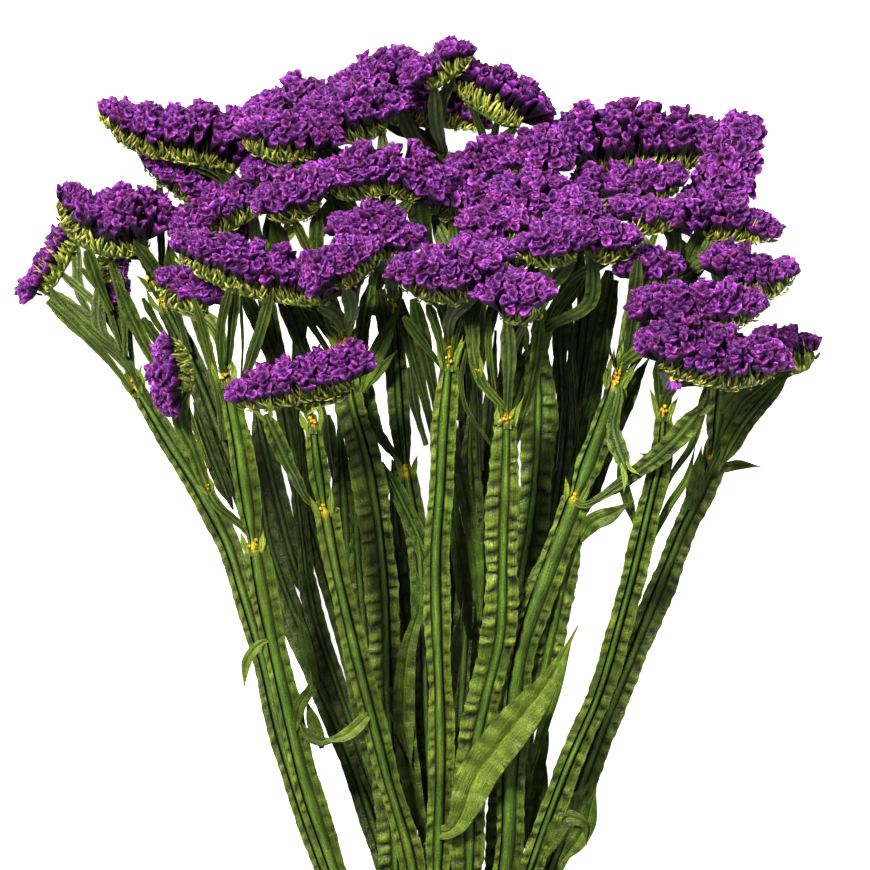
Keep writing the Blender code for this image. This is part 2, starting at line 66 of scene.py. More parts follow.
# Each stem's row at the tie, its place in that row from the left, its width, how far its top
# stands in front of the row, and its middle line in the photograph from low to high
STEMS = {
    "stem_far_left": Stem("back", 0, 8.5, 0, [
        (322, 870), (285, 760), (258, 650), (240, 590), (226, 545), (203, 500), (165, 440), (125, 372)]),
    "stem_left": Stem("front", 0, 9.5, 0, [
        (332, 870), (300, 770), (280, 680), (263, 600), (250, 520), (238, 440), (225, 370)]),
    "stem_left_back": Stem("back", 1, 8.5, 0, [
        (385, 870), (350, 760), (320, 690), (290, 620), (258, 535), (225, 450), (185, 350), (150, 280)]),
    "stem_left_deep": Stem("back", 2, 7.5, 4, [
        (408, 870), (375, 740), (335, 600), (300, 480), (275, 350), (258, 250)]),
    "stem_left_front": Stem("front", 1, 9.0, 19, [
        (412, 870), (385, 770), (360, 670), (337, 570), (322, 490), (313, 415)]),
    "stem_centre_left": Stem("middle", 0, 12.0, 6, [
        (396, 870), (392, 760), (388, 680), (383, 560), (372, 480), (350, 390), (343, 330)]),
    "stem_centre_deep": Stem("middle", 1, 8.0, 0, [
        (432, 870), (426, 700), (418, 540), (405, 460), (398, 380), (392, 290)]),
    "stem_centre": Stem("front", 2, 9.7, 0, [
        (437, 870), (440, 780), (438, 660), (435, 580), (440, 480), (445, 400), (450, 345)]),
    "stem_top": Stem("back", 3, 8.0, 0, [
        (442, 870), (455, 700), (470, 520), (468, 380), (452, 240), (446, 165)]),
    "stem_centre_front": Stem("front", 3, 12.0, 7, [
        (470, 870), (471, 780), (486, 700), (500, 640), (503, 560), (505, 500), (507, 410)]),
    "stem_centre_back": Stem("middle", 2, 8.0, 0, [
        (462, 870), (478, 700), (496, 520), (508, 380), (518, 270)]),
    "stem_centre_right": Stem("middle", 3, 12.5, 10, [
        (500, 870), (508, 700), (520, 590), (532, 510), (538, 420), (536, 330)]),
    "stem_right_deep": Stem("back", 4, 8.0, 3, [
        (512, 870), (525, 720), (545, 590), (565, 470), (580, 360), (592, 250)]),
    "stem_right_front": Stem("front", 4, 10.5, 0, [
        (504, 870), (510, 740), (522, 640), (550, 560), (580, 480), (605, 410), (622, 360)]),
    "stem_right": Stem("front", 5, 9.0, 4, [
        (530, 870), (562, 780), (596, 700), (625, 600), (645, 520), (660, 440), (662, 395)]),
    "stem_far_right": Stem("back", 5, 9.5, 0, [
        (552, 870), (592, 760), (640, 640), (680, 540), (712, 465), (722, 400), (722, 300)]),
}

# Each flower head: its stem, the pixel row where its branch leaves that stem, the branch's way,
# the spike's axis from base to tip, its height above the floor, the direction that its flowers
# point in the photograph (90 is up), their tilt towards the camera, their length, and how far
# they spread to each side
HEADS = {
    "bloom_far_left_1": Head("stem_far_left", 385, [(85, 320)],
        [(36, 290), (50, 265), (65, 240), (74, 224)], 7.05, 140, 0, 9, 25),
    "bloom_far_left_2": Head("stem_far_left", 385, [(97, 325)], [(106, 288), (108, 250)], 15, 10, 0, 8, 22),
    "bloom_left_1": Head("stem_left_deep", 255, [(245, 200)],
        [(236, 165), (205, 153), (150, 144), (130, 135), (107, 117)], 35, 90, 12, 14, 25),
    "bloom_left_2": Head("stem_left_back", 300, [(195, 262)],
        [(222, 225), (200, 200), (178, 182), (152, 166)], 19, 62, 35, 12, 28),
    "bloom_left_3": Head("stem_left_deep", 290, [(205, 262)],
        [(197, 234), (225, 219), (250, 206), (266, 200)], 34.5, 88, 15, 11, 25),
    "bloom_left_4": Head("stem_left_back", 283, [],
        [(146, 240), (120, 245), (95, 240), (75, 226), (62, 206)], 28, 72, 10, 15, 25),
    "bloom_left_5": Head("stem_left", 380, [(222, 340)],
        [(210, 305), (185, 302), (165, 288)], 69, 110, 10, 11, 25),
    "bloom_front_left": Head("stem_centre_left", 345, [(335, 315)],
        [(325, 300), (300, 295), (240, 282), (215, 271), (188, 258)], 87, 90, 12, 15, 27),
    "bloom_front_left_2": Head("stem_centre_left", 350, [(352, 310)],
        [(338, 284), (355, 272), (372, 258)], 104, 100, 20, 13, 27),
    "bloom_centre_left_1": Head("stem_left_deep", 270, [(290, 228), (290, 200)],
        [(294, 174), (276, 177), (260, 179)], 46, 85, 25, 13, 27),
    "bloom_centre_left_2": Head("stem_centre_left", 335, [(318, 260)],
        [(318, 200), (300, 210), (276, 214)], 76, 88, 20, 15, 27),
    "bloom_centre_left_3": Head("stem_centre_deep", 300, [(350, 220)],
        [(314, 152), (298, 151), (272, 149), (250, 140)], 61, 90, 15, 14, 25),
    "bloom_centre_left_4": Head("stem_centre_deep", 310, [(362, 230), (325, 155)],
        [(308, 110), (285, 114), (262, 117)], 42, 90, 15, 14, 25),
    "bloom_centre_left_5": Head("stem_centre_deep", 295, [(388, 200)],
        [(384, 124), (350, 132), (316, 130)], 52, 90, 15, 16, 27),
    "bloom_centre_left_6": Head("stem_centre_deep", 295, [(380, 240)],
        [(418, 196), (392, 184), (355, 190), (333, 187)], 72, 90, 20, 16, 27),
    "bloom_centre_1": Head("stem_centre_deep", 310, [(392, 280)],
        [(398, 252), (370, 247), (343, 238)], 88, 90, 20, 15, 27),
    "bloom_top_1": Head("stem_top", 180, [(410, 130)],
        [(398, 88), (370, 96), (346, 98)], 34, 90, 12, 15, 25),
    "bloom_top_2": Head("stem_top", 190, [(440, 150)],
        [(380, 112), (410, 113), (445, 114), (474, 122)], 23, 90, 10, 12, 25),
    "bloom_top_3": Head("stem_top", 175, [(436, 120)],
        [(426, 84), (441, 71), (464, 57)], 47, 135, 10, 10, 25),
    "bloom_top_4": Head("stem_top", 200, [(490, 160)],
        [(522, 122), (500, 110), (480, 98), (460, 86)], 38, 50, -12, 13, 30),
    "bloom_centre_2": Head("stem_centre_back", 280, [(500, 225)],
        [(532, 178), (490, 181), (461, 176)], 40, 90, 15, 16, 27),
    "bloom_centre_3": Head("stem_centre", 360, [(455, 280)],
        [(430, 207), (460, 209), (495, 203)], 60, 88, 20, 12, 27),
    "bloom_centre_4": Head("stem_centre_back", 280, [(538, 220)],
        [(542, 168), (532, 167), (522, 165)], 55, 85, 30, 14, 30),
    "bloom_centre_5": Head("stem_centre_back", 278, [(525, 245)],
        [(512, 213), (530, 215), (556, 206)], 70, 85, 25, 16, 30),
    "bloom_centre_6": Head("stem_centre", 355, [(475, 290)],
        [(478, 237), (500, 238), (516, 232)], 84, 85, 20, 12, 27),
    "bloom_centre_7": Head("stem_centre_front", 420, [(480, 380), (472, 320)],
        [(471, 270), (484, 271), (495, 266)], 99, 88, 20, 14, 27),
    "bloom_centre_8": Head("stem_centre", 350, [(450, 320)],
        [(478, 286), (458, 293), (430, 291), (406, 284)], 112, 90, 22, 16, 30),
    "bloom_centre_9": Head("stem_centre_front", 415, [(508, 360)],
        [(502, 313), (517, 315), (537, 306)], 115, 88, 25, 15, 30),
    "bloom_centre_10": Head("stem_centre_right", 338, [(542, 300)],
        [(574, 252), (558, 257), (541, 257), (525, 254)], 98, 88, 20, 12, 27),
    "bloom_centre_11": Head("stem_centre_right", 345, [(570, 280)],
        [(583, 224), (572, 231), (559, 229)], 82, 85, 30, 12, 30),
    "bloom_centre_12": Head("stem_centre_right", 350, [(590, 300)],
        [(588, 250), (605, 253), (626, 246)], 93, 85, 20, 12, 27),
    "bloom_right_1": Head("stem_right_deep", 270, [(588, 210)],
        [(578, 165), (600, 163), (640, 158), (685, 157), (705, 152)], 32, 92, 12, 16, 25),
    "bloom_right_2": Head("stem_right_deep", 280, [(600, 225)],
        [(594, 196), (615, 197), (645, 195), (672, 188)], 52, 90, 15, 12, 25),
    "bloom_right_3": Head("stem_right_front", 375, [(632, 300), (645, 250)],
        [(627, 222), (650, 224), (670, 218)], 71, 88, 18, 10, 25),
    "bloom_right_4": Head("stem_far_right", 320, [(715, 250)],
        [(712, 216), (722, 195), (735, 162), (745, 128)], 46, 180, 75, 12, 50),
    "bloom_right_5": Head("stem_right_front", 372, [(680, 290), (700, 260)],
        [(703, 232), (735, 230), (765, 235)], 70, 90, 15, 12, 25),
    "bloom_right_6": Head("stem_right_front", 378, [(690, 330), (718, 305)],
        [(727, 283), (760, 289), (784, 279)], 84, 88, 15, 13, 25),
    "bloom_right_7": Head("stem_right_front", 380, [(638, 320)],
        [(636, 281), (655, 281), (671, 273)], 84, 88, 20, 12, 27),
    "bloom_right_8": Head("stem_right_front", 372, [(645, 345)],
        [(652, 325), (680, 326), (715, 322), (748, 314)], 100, 92, 20, 15, 27),
    "bloom_right_9": Head("stem_right", 410, [(668, 385)],
        [(657, 362), (690, 371), (725, 378), (765, 372)], 115, 90, 22, 15, 27),
    "bloom_far_right": Head("stem_far_right", 455, [(755, 410), (772, 385)],
        [(776, 362), (795, 362), (812, 354)], 7.9, 90, 0, 13, 25),
    "bloom_low_1": Head("stem_left", 545, [(215, 500), (195, 450), (182, 415)],
        [(184, 392), (183, 370), (178, 350)], 92, 175, 10, 12, 25),
    "bloom_low_2": Head("stem_left_front", 425, [(310, 415)],
        [(352, 381), (335, 385), (300, 392), (265, 399), (245, 402)], 101, 92, 18, 13, 27),
}

# Leaves: the stem that each grows from, its line from base to tip, the height of its base and
# tip above that stem, and its width
LEAVES = [
    Side("stem_centre", [(447, 832), (480, 770), (510, 730), (545, 685), (577, 625)], (3, 15), 13.5),
    Side("stem_far_right", [(562, 845), (574, 815), (598, 778)], (0.5, 1), 8.0),
    Side("stem_far_right", [(718, 468), (740, 465), (764, 467)], (0, 1), 3.5),
    Side("stem_far_right", [(719, 455), (728, 430), (739, 404)], (0, 2), 4.0),
    Side("stem_left", [(268, 640), (250, 655), (244, 690)], (0.5, 2), 3.5),
    Side("stem_left_front", [(372, 715), (345, 735), (318, 742)], (0.5, 3), 4.5),
    Side("stem_centre_left", [(388, 690), (400, 715), (412, 770)], (1, 6), 6.5),
]

# Winged twigs that carry no flowers, given in the same way
TWIGS = [
    Side("stem_left_front", [(316, 505), (296, 475), (268, 415)], (0.5, 14), 6.0),
    Side("stem_right_front", [(575, 500), (630, 475), (668, 445), (700, 408)], (1, 15), 7.5),
    Side("stem_centre_deep", [(408, 470), (372, 420), (366, 380)], (0, 1), 6.0),
    Side("stem_right_front", [(616, 385), (612, 430), (625, 470)], (1, 9), 6.0),
]

# How puckered a stem's wings are, how light its green is (lower for stems deep in the bunch:
# painted shade), how yellow, the left and right wing's share of the width, the rib's share, and
# the sides of the rib with a deep groove (painted near black: painted shade)
STEM_TONES = {
    "stem_far_left": (0.5, 0.95, 0.3, 0.9, 1.1, 0.34, (-1,)),
    "stem_left": (0.45, 1.15, 0.35, 0.75, 1.2, 0.42, (-1,)),
    "stem_left_back": (0.4, 0.6, 0.2, 1.0, 1.0, 0.3, (1,)),
    "stem_left_deep": (0.35, 0.55, 0.1, 1.1, 0.9, 0.3, (1,)),
    "stem_left_front": (0.55, 1.05, 0.45, 0.9, 1.05, 0.36, (1,)),
    "stem_centre_left": (0.9, 0.9, 0.6, 1.2, 0.8, 0.22, (1,)),
    "stem_centre_deep": (0.5, 0.7, 0.1, 1.1, 0.9, 0.3, (1,)),
    "stem_centre": (0.6, 1.15, 0.4, 0.85, 1.05, 0.36, (1,)),
    "stem_top": (0.4, 0.6, 0.1, 1.0, 1.0, 0.3, (-1,)),
    "stem_centre_front": (1.05, 1.15, 0.35, 1.15, 0.85, 0.26, ()),
    "stem_centre_back": (0.4, 0.6, 0.2, 1.0, 1.0, 0.3, (1,)),
    "stem_centre_right": (0.95, 1.05, 0.2, 0.95, 1.05, 0.18, ()),
    "stem_right_deep": (0.5, 0.65, 0.3, 1.0, 1.0, 0.34, (-1,)),
    "stem_right_front": (0.7, 1.05, 0.2, 0.75, 1.2, 0.5, (-1,)),
    "stem_right": (0.65, 1.0, 0.35, 0.9, 1.1, 0.26, (-1, 1)),
    "stem_far_right": (0.75, 1.0, 0.4, 0.85, 1.15, 0.3, (-1,)),
}

# Fine detail
RING_STEP = 1.25  # along a stem
PUCKER_PITCH = 5.0
WING_GROWTH = (20.0, 85.0)  # where the wings widen, above the tie
# The lines along one side of a blade: shares of its wing from the edge, its groove, its rib
ACROSS = np.array([1, 0.76, 0.46, 0.16, 0.0, -0.6])
BLADE_UNDER = (0.62, 0.2, -0.2, -0.62)  # the lines along its underside
# The lines along a leaf: the first nine on top, the others below, as shares of its half width
LEAF_SPANS = np.array([-1, -0.75, -0.42, -0.12, 0, 0.12, 0.42, 0.75, 1, 0.5, 0, -0.5])
LEAF_TOPS = 9
LEAF_FOLD = 0.25  # rise of its edges over its half width
FLOW_UNDER = 40  # keeps the grain of an underside apart from the top's
CURVE_STEPS = 12  # between two points of a curve
BRANCH_STEP = 1.5
TWIG_STEP = 1.4
# A rachis' section, and the rows of bracts on each side of it: how low and how far out a bract
# starts, how high and how far out it ends, and its width
RACHIS = [(-3.2, 0.6), (0, -0.1), (3.2, 0.6), (1.9, -3.2), (0, -4.6), (-1.9, -3.2)]
BRACT_ROWS = [(-4.0, 1.0, -2.4, 3.6, 0.75), (-3.6, 1.4, 0.4, 4.9, 0.75), (-2.8, 1.8, 3.0, 5.8, 0.7),
              (-1.4, 2.6, 5.6, 6.4, 0.6)]
BRACT_STEP = 1.35
CALYX_ROW = 2.6
CALYX_SPACING = 2.8
CALYX_RADIUS = 2.1
PLEATS = 12
LOBE_PITCH = 10.5  # between the swellings of a head
WIDEST_FAN = 64.0  # degrees to each side
# The rings of one calyx, from its root over the rim to its throat: share of the mouth's radius,
# pleating, drop below the mouth, ruffle, pleats between two points, lightness (painted shade in
# the root and throat, a painted highlight at the rim), paleness (a painted highlight at the rim)
CUP_RINGS = [(0.16, 0, 5.5, 0, 2, 0.05, 0.0), (0.56, 0.1, 3.6, 0.2, 2, 0.11, 0.0),
             (0.88, 0.19, 1.3, 0.8, 1, 0.42, 0.0), (1.0, 0.17, 0.0, 1.1, 1, 0.92, 0.13),
             (0.5, 0.3, 0.2, 1.3, 2, 0.36, 0.02)]
CORE_SHAPE = [(-1, 0.55), (-0.62, 0.92), (0, 1.04), (0.62, 0.92), (1, 0.55), (0.3, 0), (-0.3, 0)]


def linear(code):
    """Linear colour of an sRGB code."""
    parts = [int(code[at:at + 2], 16) / 255 for at in (1, 3, 5)]
    return np.array([part / 12.92 if part <= 0.04045 else ((part + 0.055) / 1.055) ** 2.4
                     for part in parts])


VIOLET = linear("#8d35b0")
MAGENTA = linear("#9c2c96")
# The pale lavender of a painted highlight on the calyx rims
RIM_HIGHLIGHT = linear("#d3a0dc")
# The near-black purple of painted shade: calyx roots and throats, and the spike's core
SHADE_PURPLE = linear("#34053c")
WING_GREEN = linear("#3f5a12")
# Pale green: the own colour of pale leaves and wing edges, and a painted highlight on raised pillows and
# bumps
WING_PALE_AND_HIGHLIGHT = linear("#92a745")
WING_YELLOW = linear("#6e7420")
# Near-black green of painted shade: pillow creases, rib grooves and undersides
WING_SHADE = linear("#0d1601")
RIB_GREEN = linear("#4a6a24")
NODE_YELLOW = linear("#e0c82c")
NODE_ORANGE = linear("#c8802a")
BRACT_GREEN = linear("#6e8a2e")
BRACT_TIP = linear("#d6d878")
BRACT_BROWN = linear("#7c4d20")
LEAF_PALE = linear("#7fa23c")
TWINE = linear("#c2a26a")


def generator(name):
    """Random numbers that are the same in each run."""
    return np.random.default_rng(random.Random(name).getrandbits(32))


# Paths

def unit(vectors):
    return vectors / np.maximum(np.linalg.norm(vectors, axis=-1, keepdims=True), 1e-9)


def ease(value, low, high):
    share = np.clip((value - low) / (high - low), 0.0, 1.0)
    return share * share * (3 - 2 * share)


def reach_along(line):
    """How far each point of a line lies from its start."""
    return np.concatenate([[0], np.cumsum(np.linalg.norm(np.diff(line, axis=0), axis=1))])


def smooth_line(points, spacing):
    """Points at an even spacing along a smooth curve through the given points."""
    points = np.array(points, float)
    legs = np.diff(points, axis=0)
    chords = np.linalg.norm(legs, axis=1)
    runs = legs / chords[:, None]
    slopes = [runs[0]]
    for at in range(1, len(runs)):
        before, after = chords[at - 1], chords[at]
        slopes.append((runs[at - 1] * after + runs[at] * before) / (before + after))
    slopes.append(runs[-1])
    t = (np.arange(CURVE_STEPS) / CURVE_STEPS)[:, None]
    blend = t * t * (3 - 2 * t)
    fine = []
    for at, chord in enumerate(chords):
        a, b = points[at], points[at + 1]
        fine.append(a + (b - a) * blend + slopes[at] * chord * t * (1 - t) ** 2
                    - slopes[at + 1] * chord * t * t * (1 - t))
    fine = np.vstack(fine + [points[-1:]])
    reach = reach_along(fine)
    count = max(1, round(reach[-1] / spacing))
    goals = np.linspace(0, reach[-1], count + 1)
    return np.stack([np.interp(goals, reach, fine[:, axis]) for axis in range(3)], axis=1)


def tangents(line):
    ends = np.vstack([line[:1], line, line[-1:]])
    return unit(ends[2:] - ends[:-2])


def sideways(line):
    """The ways across a line and upwards from it."""
    along = tangents(line)
    side = unit(np.cross(along, np.array([0, 0, 1.0])))
    return side, np.cross(side, along)


def crossways(ways, axis):
    """Two ways across each of the given ones, from one of the axes."""
    helper = np.where(np.abs(ways[:, axis:axis + 1]) < 0.9, np.eye(3)[axis], np.eye(3)[0])
    first = unit(np.cross(ways, helper))
    return first, np.cross(ways, first)


def photo_point(pixel, height=0.0):
    column, row = pixel
    return np.array([(column - TIE_COLUMN) * MM_PER_PIXEL, (TIE_ROW - row) * MM_PER_PIXEL, height])


def row_height(row):
    place = list(ROW_SLOPES).index(row)
    return TIE_THICK + TIE_CLEARANCE + STEM_THICK / 2 + place * (STEM_THICK + STEM_GAP)


def stem_points(stem):
    """The stem's middle line from its cut end to its top."""
    slope = ROW_SLOPES[stem.row]
    base = row_height(stem.row)
    side = (stem.slot - (ROW_SIZES[stem.row] - 1) / 2) * (STEM_WIDTH + STEM_GAP)
    cut = CUT_END + 9 * math.sin(2.1 * side + base)
    points = [(side * 1.35, cut, base - slope * cut * 0.12),
              (side * 1.1, cut / 2, base - slope * cut * 0.03),
              (side, -TIE_LENGTH, base), (side, TIE_LENGTH, base)]
    top = photo_point(stem.line[-1])[1]
    for pixel in stem.line:
        point = photo_point(pixel)
        point[2] = base + slope * point[1] + stem.lift * ease(point[1], 60, top)
        points.append(tuple(point))
    return points


STEM_LINES = {name: smooth_line(stem_points(stem), 3.0) for name, stem in STEMS.items()}


def stem_at(name, row):
    """The point of the stem's middle line at a pixel row of the photograph."""
    line = STEM_LINES[name]
    return line[np.argmin(np.abs(line[:, 1] - (TIE_ROW - row) * MM_PER_PIXEL))]


def spike_frames(head, spacing):
    """Centre, direction, the way the flowers point and the way across, along a head's spike."""
    line = smooth_line([photo_point(pixel, head.z) for pixel in head.spike], spacing)
    along = tangents(line)
    aim = math.radians(head.aim)
    tilt = math.radians(head.tilt)
    facing = np.array([math.cos(aim) * math.cos(tilt), math.sin(aim) * math.cos(tilt), math.sin(tilt)])
    up = unit(facing - along * (along @ facing)[:, None])
    return line, along, up, np.cross(along, up)


def branch_line(name, head, spacing):
    """The middle line of the branch from the stem to the head's base."""
    root = stem_at(name, head.root)
    line, along, up, _ = spike_frames(head, 6.6)
    end = line[0] - up[0] * 3.0 + along[0] * 1.5
    flat = [photo_point(pixel) for pixel in head.via]
    stops = [root] + flat + [end]
    legs = [np.linalg.norm((b - a)[:2]) for a, b in zip(stops, stops[1:])]
    gone = 0.0
    for at, point in enumerate(flat):
        gone += legs[at]
        point[2] = root[2] + (end[2] - root[2]) * gone / sum(legs)
    flat = [point for point in flat if np.linalg.norm(point - end) > 7]
    return smooth_line([root - np.array([0, 4, 0]), root] + flat + [end], spacing)


# Meshes

class Skin:
    """Points, tints, flows and faces gathered for one piece.

    A tint's fourth number is its gloss. A flow is how far across and along a point lies on its own
    leaf, stem or calyx, for the grain of the material.
    """

    def __init__(self):
        self.points = []
        self.tints = []
        self.flows = []
        self.faces = []
        self.kinds = []
        self.count = 0

    def add(self, points, tints, faces, kind=0, flows=None):
        self.points.append(points)
        self.tints.append(tints)
        self.flows.append(points if flows is None else flows)
        for block in faces:
            self.faces.append(block + self.count)
            self.kinds.append(np.full(len(block), kind))
        self.count += len(points)

    def piece(self, name, materials, sharp):
        mesh = bpy.data.meshes.new(name)
        faces = [face for block in self.faces for face in block.tolist()]
        mesh.from_pydata((np.concatenate(self.points) * MM).tolist(), [], faces)
        tint = mesh.color_attributes.new("Tint", "FLOAT_COLOR", "POINT")
        tint.data.foreach_set("color", np.concatenate(self.tints).astype(np.float32).ravel())
        flow = mesh.attributes.new("Flow", "FLOAT_VECTOR", "POINT")
        flow.data.foreach_set("vector", np.concatenate(self.flows).astype(np.float32).ravel())
        for material in materials:
            mesh.materials.append(material)
        mesh.polygons.foreach_set("material_index", np.concatenate(self.kinds))
        mesh.polygons.foreach_set("use_smooth", np.ones(len(faces), bool))
        mesh.set_sharp_from_angle(angle=math.radians(sharp))
        mesh.update()
        result = bpy.data.objects.new(name, mesh)
        bpy.context.scene.collection.objects.link(result)
        return result


def tinted(colours, gloss):
    """Colours with a gloss beside each."""
    gloss = np.broadcast_to(np.asarray(gloss, float), colours.shape[:-1])
    return np.concatenate([colours, gloss[..., None]], axis=-1)


def loft(skin, rings, tints, flows=None):
    """A closed body through rings of points, of shape (rings, points, 3)."""
    count, around = rings.shape[:2]
    index = np.arange(count * around).reshape(count, around)
    after = np.roll(index, -1, axis=1)
    quads = np.stack([index[:-1], after[:-1], after[1:], index[1:]], axis=-1).reshape(-1, 4)
    caps = [index[:1, ::-1], index[-1:]]
    flows = rings if flows is None else flows
    skin.add(rings.reshape(-1, 3), tints.reshape(-1, 4), [quads] + caps, 0, flows.reshape(-1, 3))


def blank_rings(count, around, rng):
    """Empty arrays for rings of points, their tints and their flows."""
    rings = np.empty((count, around, 3))
    tints = np.empty((count, around, 4))
    flows = np.empty((count, around, 3))
    flows[:, :, 2] = rng.uniform(0, 100)
    return rings, tints, flows


def mix(a, b, share):
    share = np.asarray(share, float)[..., None]
    return a * (1 - share) + b * share


def waves(at, pitches, rng):
    """A smooth, uneven wave along the given places, between about -1 and 1."""
    total = np.zeros_like(at)
    for pitch in pitches:
        total += np.sin(at * (2 * math.pi / pitch) + rng.uniform(0, 2 * math.pi))
    return total / len(pitches)


Blade = namedtuple("Blade", "pucker light yellow rib curl grooves")


def blade_columns(reach, half, way, thick, look, rng, across, shades):
    """One side of a blade, from its edge to its rib: for each line along it, the place across, the
    height, the colour, the gloss and the share of the width."""
    full, shade, warm = shades
    puckers = int(reach[-1] / PUCKER_PITCH) + 8
    bend = waves(reach, (13, 29, 83), rng) * 0.55 * PUCKER_PITCH
    strength = rng.uniform(0.2, 1.5, puckers)
    tone = rng.uniform(0.7, 1.15, puckers)
    ragged = waves(reach, (3.7, 6.1, 14), rng)
    nicks = waves(reach, (4.3, 7.1, 17), rng)
    columns = []
    for share in across:
        wing = max(share, 0.0)
        out = look.rib + (1 - look.rib) * wing if share >= 0 else look.rib * -share
        drift = waves(reach, (6.3, 11, 24), rng) * 0.9 * wing
        turn = np.abs((reach + bend + drift) / PUCKER_PITCH + 0.5 * (way > 0) + 0.3 * wing) + 1
        cell = turn.astype(int) % puckers
        size = look.pucker * ease(full, 1.0, 3.4) * strength[cell]
        pillow = np.abs(np.sin(math.pi * turn)) ** 0.6
        hump = math.sin(math.pi * min(wing, 0.94)) ** 0.8 if wing > 0 else 0.0
        edge = wing ** 3
        rise = 1.9 * size * (pillow - 0.5) * hump + edge * look.pucker * 0.8 * ragged
        rise = rise + look.curl * half * wing ** 2
        push = edge * 0.5 * nicks * look.pucker
        deep = way in look.grooves and share == 0
        if share >= 0:
            depth = 0.3 * thick * (1 - wing) ** 2 + 0.22
            depth = depth - (0.46 * thick if deep else 0.22 * thick) * (share == 0)
        else:
            depth = thick * 0.5 * math.sqrt(1 - share * share)
        base = mix(WING_GREEN, WING_YELLOW, np.clip(look.yellow * (0.2 + 0.8 * warm), 0, 1))
        base = base * tone[cell][:, None]
        # Pillow tops are pulled towards pale green, a painted highlight; the paler edge is the wing's own
        # colour
        base = mix(base, WING_PALE_AND_HIGHLIGHT, np.clip(hump * pillow ** 2 * size * 0.62 + 0.25 * edge, 0, 1))
        # The creases between the pillows are darkened: painted shade
        base = mix(base, WING_SHADE, np.clip(1.5 * (1 - pillow) * hump * (0.35 + size), 0, 0.95))
        gloss = 0.35 + 0.55 * pillow * hump
        if share < 0:
            base = mix(mix(WING_GREEN, RIB_GREEN, 0.3 + 0.6 * shade), WING_YELLOW, look.yellow * warm)
            base = base * (0.7 + 0.3 * (1 + share))
            gloss = 0.6
        elif share == 0:
            # The groove beside the rib is darkened, nearly black where it is deep: painted shade
            base = mix(base, WING_SHADE, 0.97 if deep else 0.75)
        columns.append((way * (out * half + push), rise + depth, base, gloss, out))
    return columns


def blade(skin, line, left, right, thick, look, rng, nodes=(), across=ACROSS):
    """A winged blade: a smooth rib, a groove on each side of it, and two puckered wings."""
    side, lift = sideways(line)
    reach = reach_along(line)
    shade = 0.5 + 0.5 * waves(reach, (19, 43, 90), rng)
    warm = 0.5 + 0.5 * waves(reach, (27, 58, 120), rng)
    shades = (left + right) / 2, shade, warm
    thick = np.broadcast_to(np.asarray(thick, float), reach.shape)
    columns = blade_columns(reach, left, -1, thick, look, rng, across, shades)
    other = blade_columns(reach, right, 1, thick, look, rng, across, shades)
    crest = mix(mix(WING_GREEN, RIB_GREEN, 0.4 + 0.6 * shade), WING_PALE_AND_HIGHLIGHT, 0.1 + 0.25 * warm)
    columns += [(np.zeros(len(line)), 0.5 * thick, crest, 0.7, 0.0)] + other[::-1]
    for share in BLADE_UNDER:
        half = right if share > 0 else left
        drop = -0.35 * thick * math.exp(-(share / 0.3) ** 2) - 0.3
        # The underside is darkened towards near-black green: painted shade
        columns.append((share * half, drop + look.curl * half * share ** 2 * 0.5,
                        mix(WING_GREEN, WING_SHADE, np.full(len(line), 0.3)), 0.3, abs(share)))
    rings, tints, flows = blank_rings(len(line), len(columns), rng)
    for at, (where, height, base, gloss, out) in enumerate(columns):
        rings[:, at] = line + side * where[:, None] + lift * height[:, None]
        flows[:, at, 0] = where + FLOW_UNDER * (at > 2 * len(across))
        flows[:, at, 1] = reach
        # look.light is lower for pieces deep in the bunch: painted shade
        base = base * look.light * (0.75 + 0.45 * shade[:, None])
        for node in nodes:
            near = np.exp(-((line[:, 1] - node) / 1.8) ** 2) * math.exp(-(out / 0.4) ** 2)
            base = mix(base, NODE_YELLOW, near * 0.8)
        tints[:, at, :3] = base
        tints[:, at, 3] = gloss
    loft(skin, rings, tints, flows)


def leaf(skin, line, width, look, rng, colour=WING_PALE_AND_HIGHLIGHT):
    """A pointed leaf with a sunken midrib and a slightly waved edge."""
    share = np.linspace(0, 1, len(line))
    half = width / 2 * (0.35 + 0.65 * ease(share, 0, 0.3)) * (1 - ease(share, 0.5, 1.02) * 0.97)
    side, lift = sideways(line)
    rings, tints, flows = blank_rings(len(line), len(LEAF_SPANS), rng)
    reach = reach_along(line)
    shade = 0.5 + 0.5 * waves(reach, (9, 17, 31), rng)
    bumps = [waves(reach, (3.9, 5.3, 8.7), rng) for _ in range(2)]
    for at, span in enumerate(LEAF_SPANS):
        top = at < LEAF_TOPS
        out = abs(span)
        fold = out * LEAF_FOLD * half
        wave = (np.sin(reach * 2 * math.pi / 9 + (0 if span > 0 else 1.7))
                * out ** 2 * half * look.pucker * 0.12)
        wave = wave + (bumps[span > 0] * look.pucker * 0.35
                       * math.sin(math.pi * min(out, 0.95)) * ease(half, 0.8, 3))
        depth = (0.25 if top else -0.25) * (1 if out < 0.9 else 0.4)
        dip = 0.12 * half if (top and span == 0) else 0
        rings[:, at] = line + side * (span * half)[:, None] + lift * (fold + wave + depth - dip)[:, None]
        flows[:, at, 0] = span * half + FLOW_UNDER * (not top)
        flows[:, at, 1] = reach
        base = mix(colour, WING_YELLOW, np.clip(0.7 * shade * look.yellow, 0, 1))
        # Where the bumps rise the leaf is lighter: a painted highlight
        base = mix(base, WING_PALE_AND_HIGHLIGHT, np.clip(0.35 * bumps[span > 0] * look.pucker + 0.1, 0, 1))
        if span == 0 and top:
            base = mix(base, LEAF_PALE, 0.5)
        base = base * look.light * (0.75 + 0.4 * shade[:, None]) * (1 - 0.15 * out)
        base = mix(base, BRACT_BROWN, ease(share, 0.9, 1) * 0.6)
        tints[:, at] = tinted(base, 0.6)
    loft(skin, rings, tints, flows)


# Green pieces

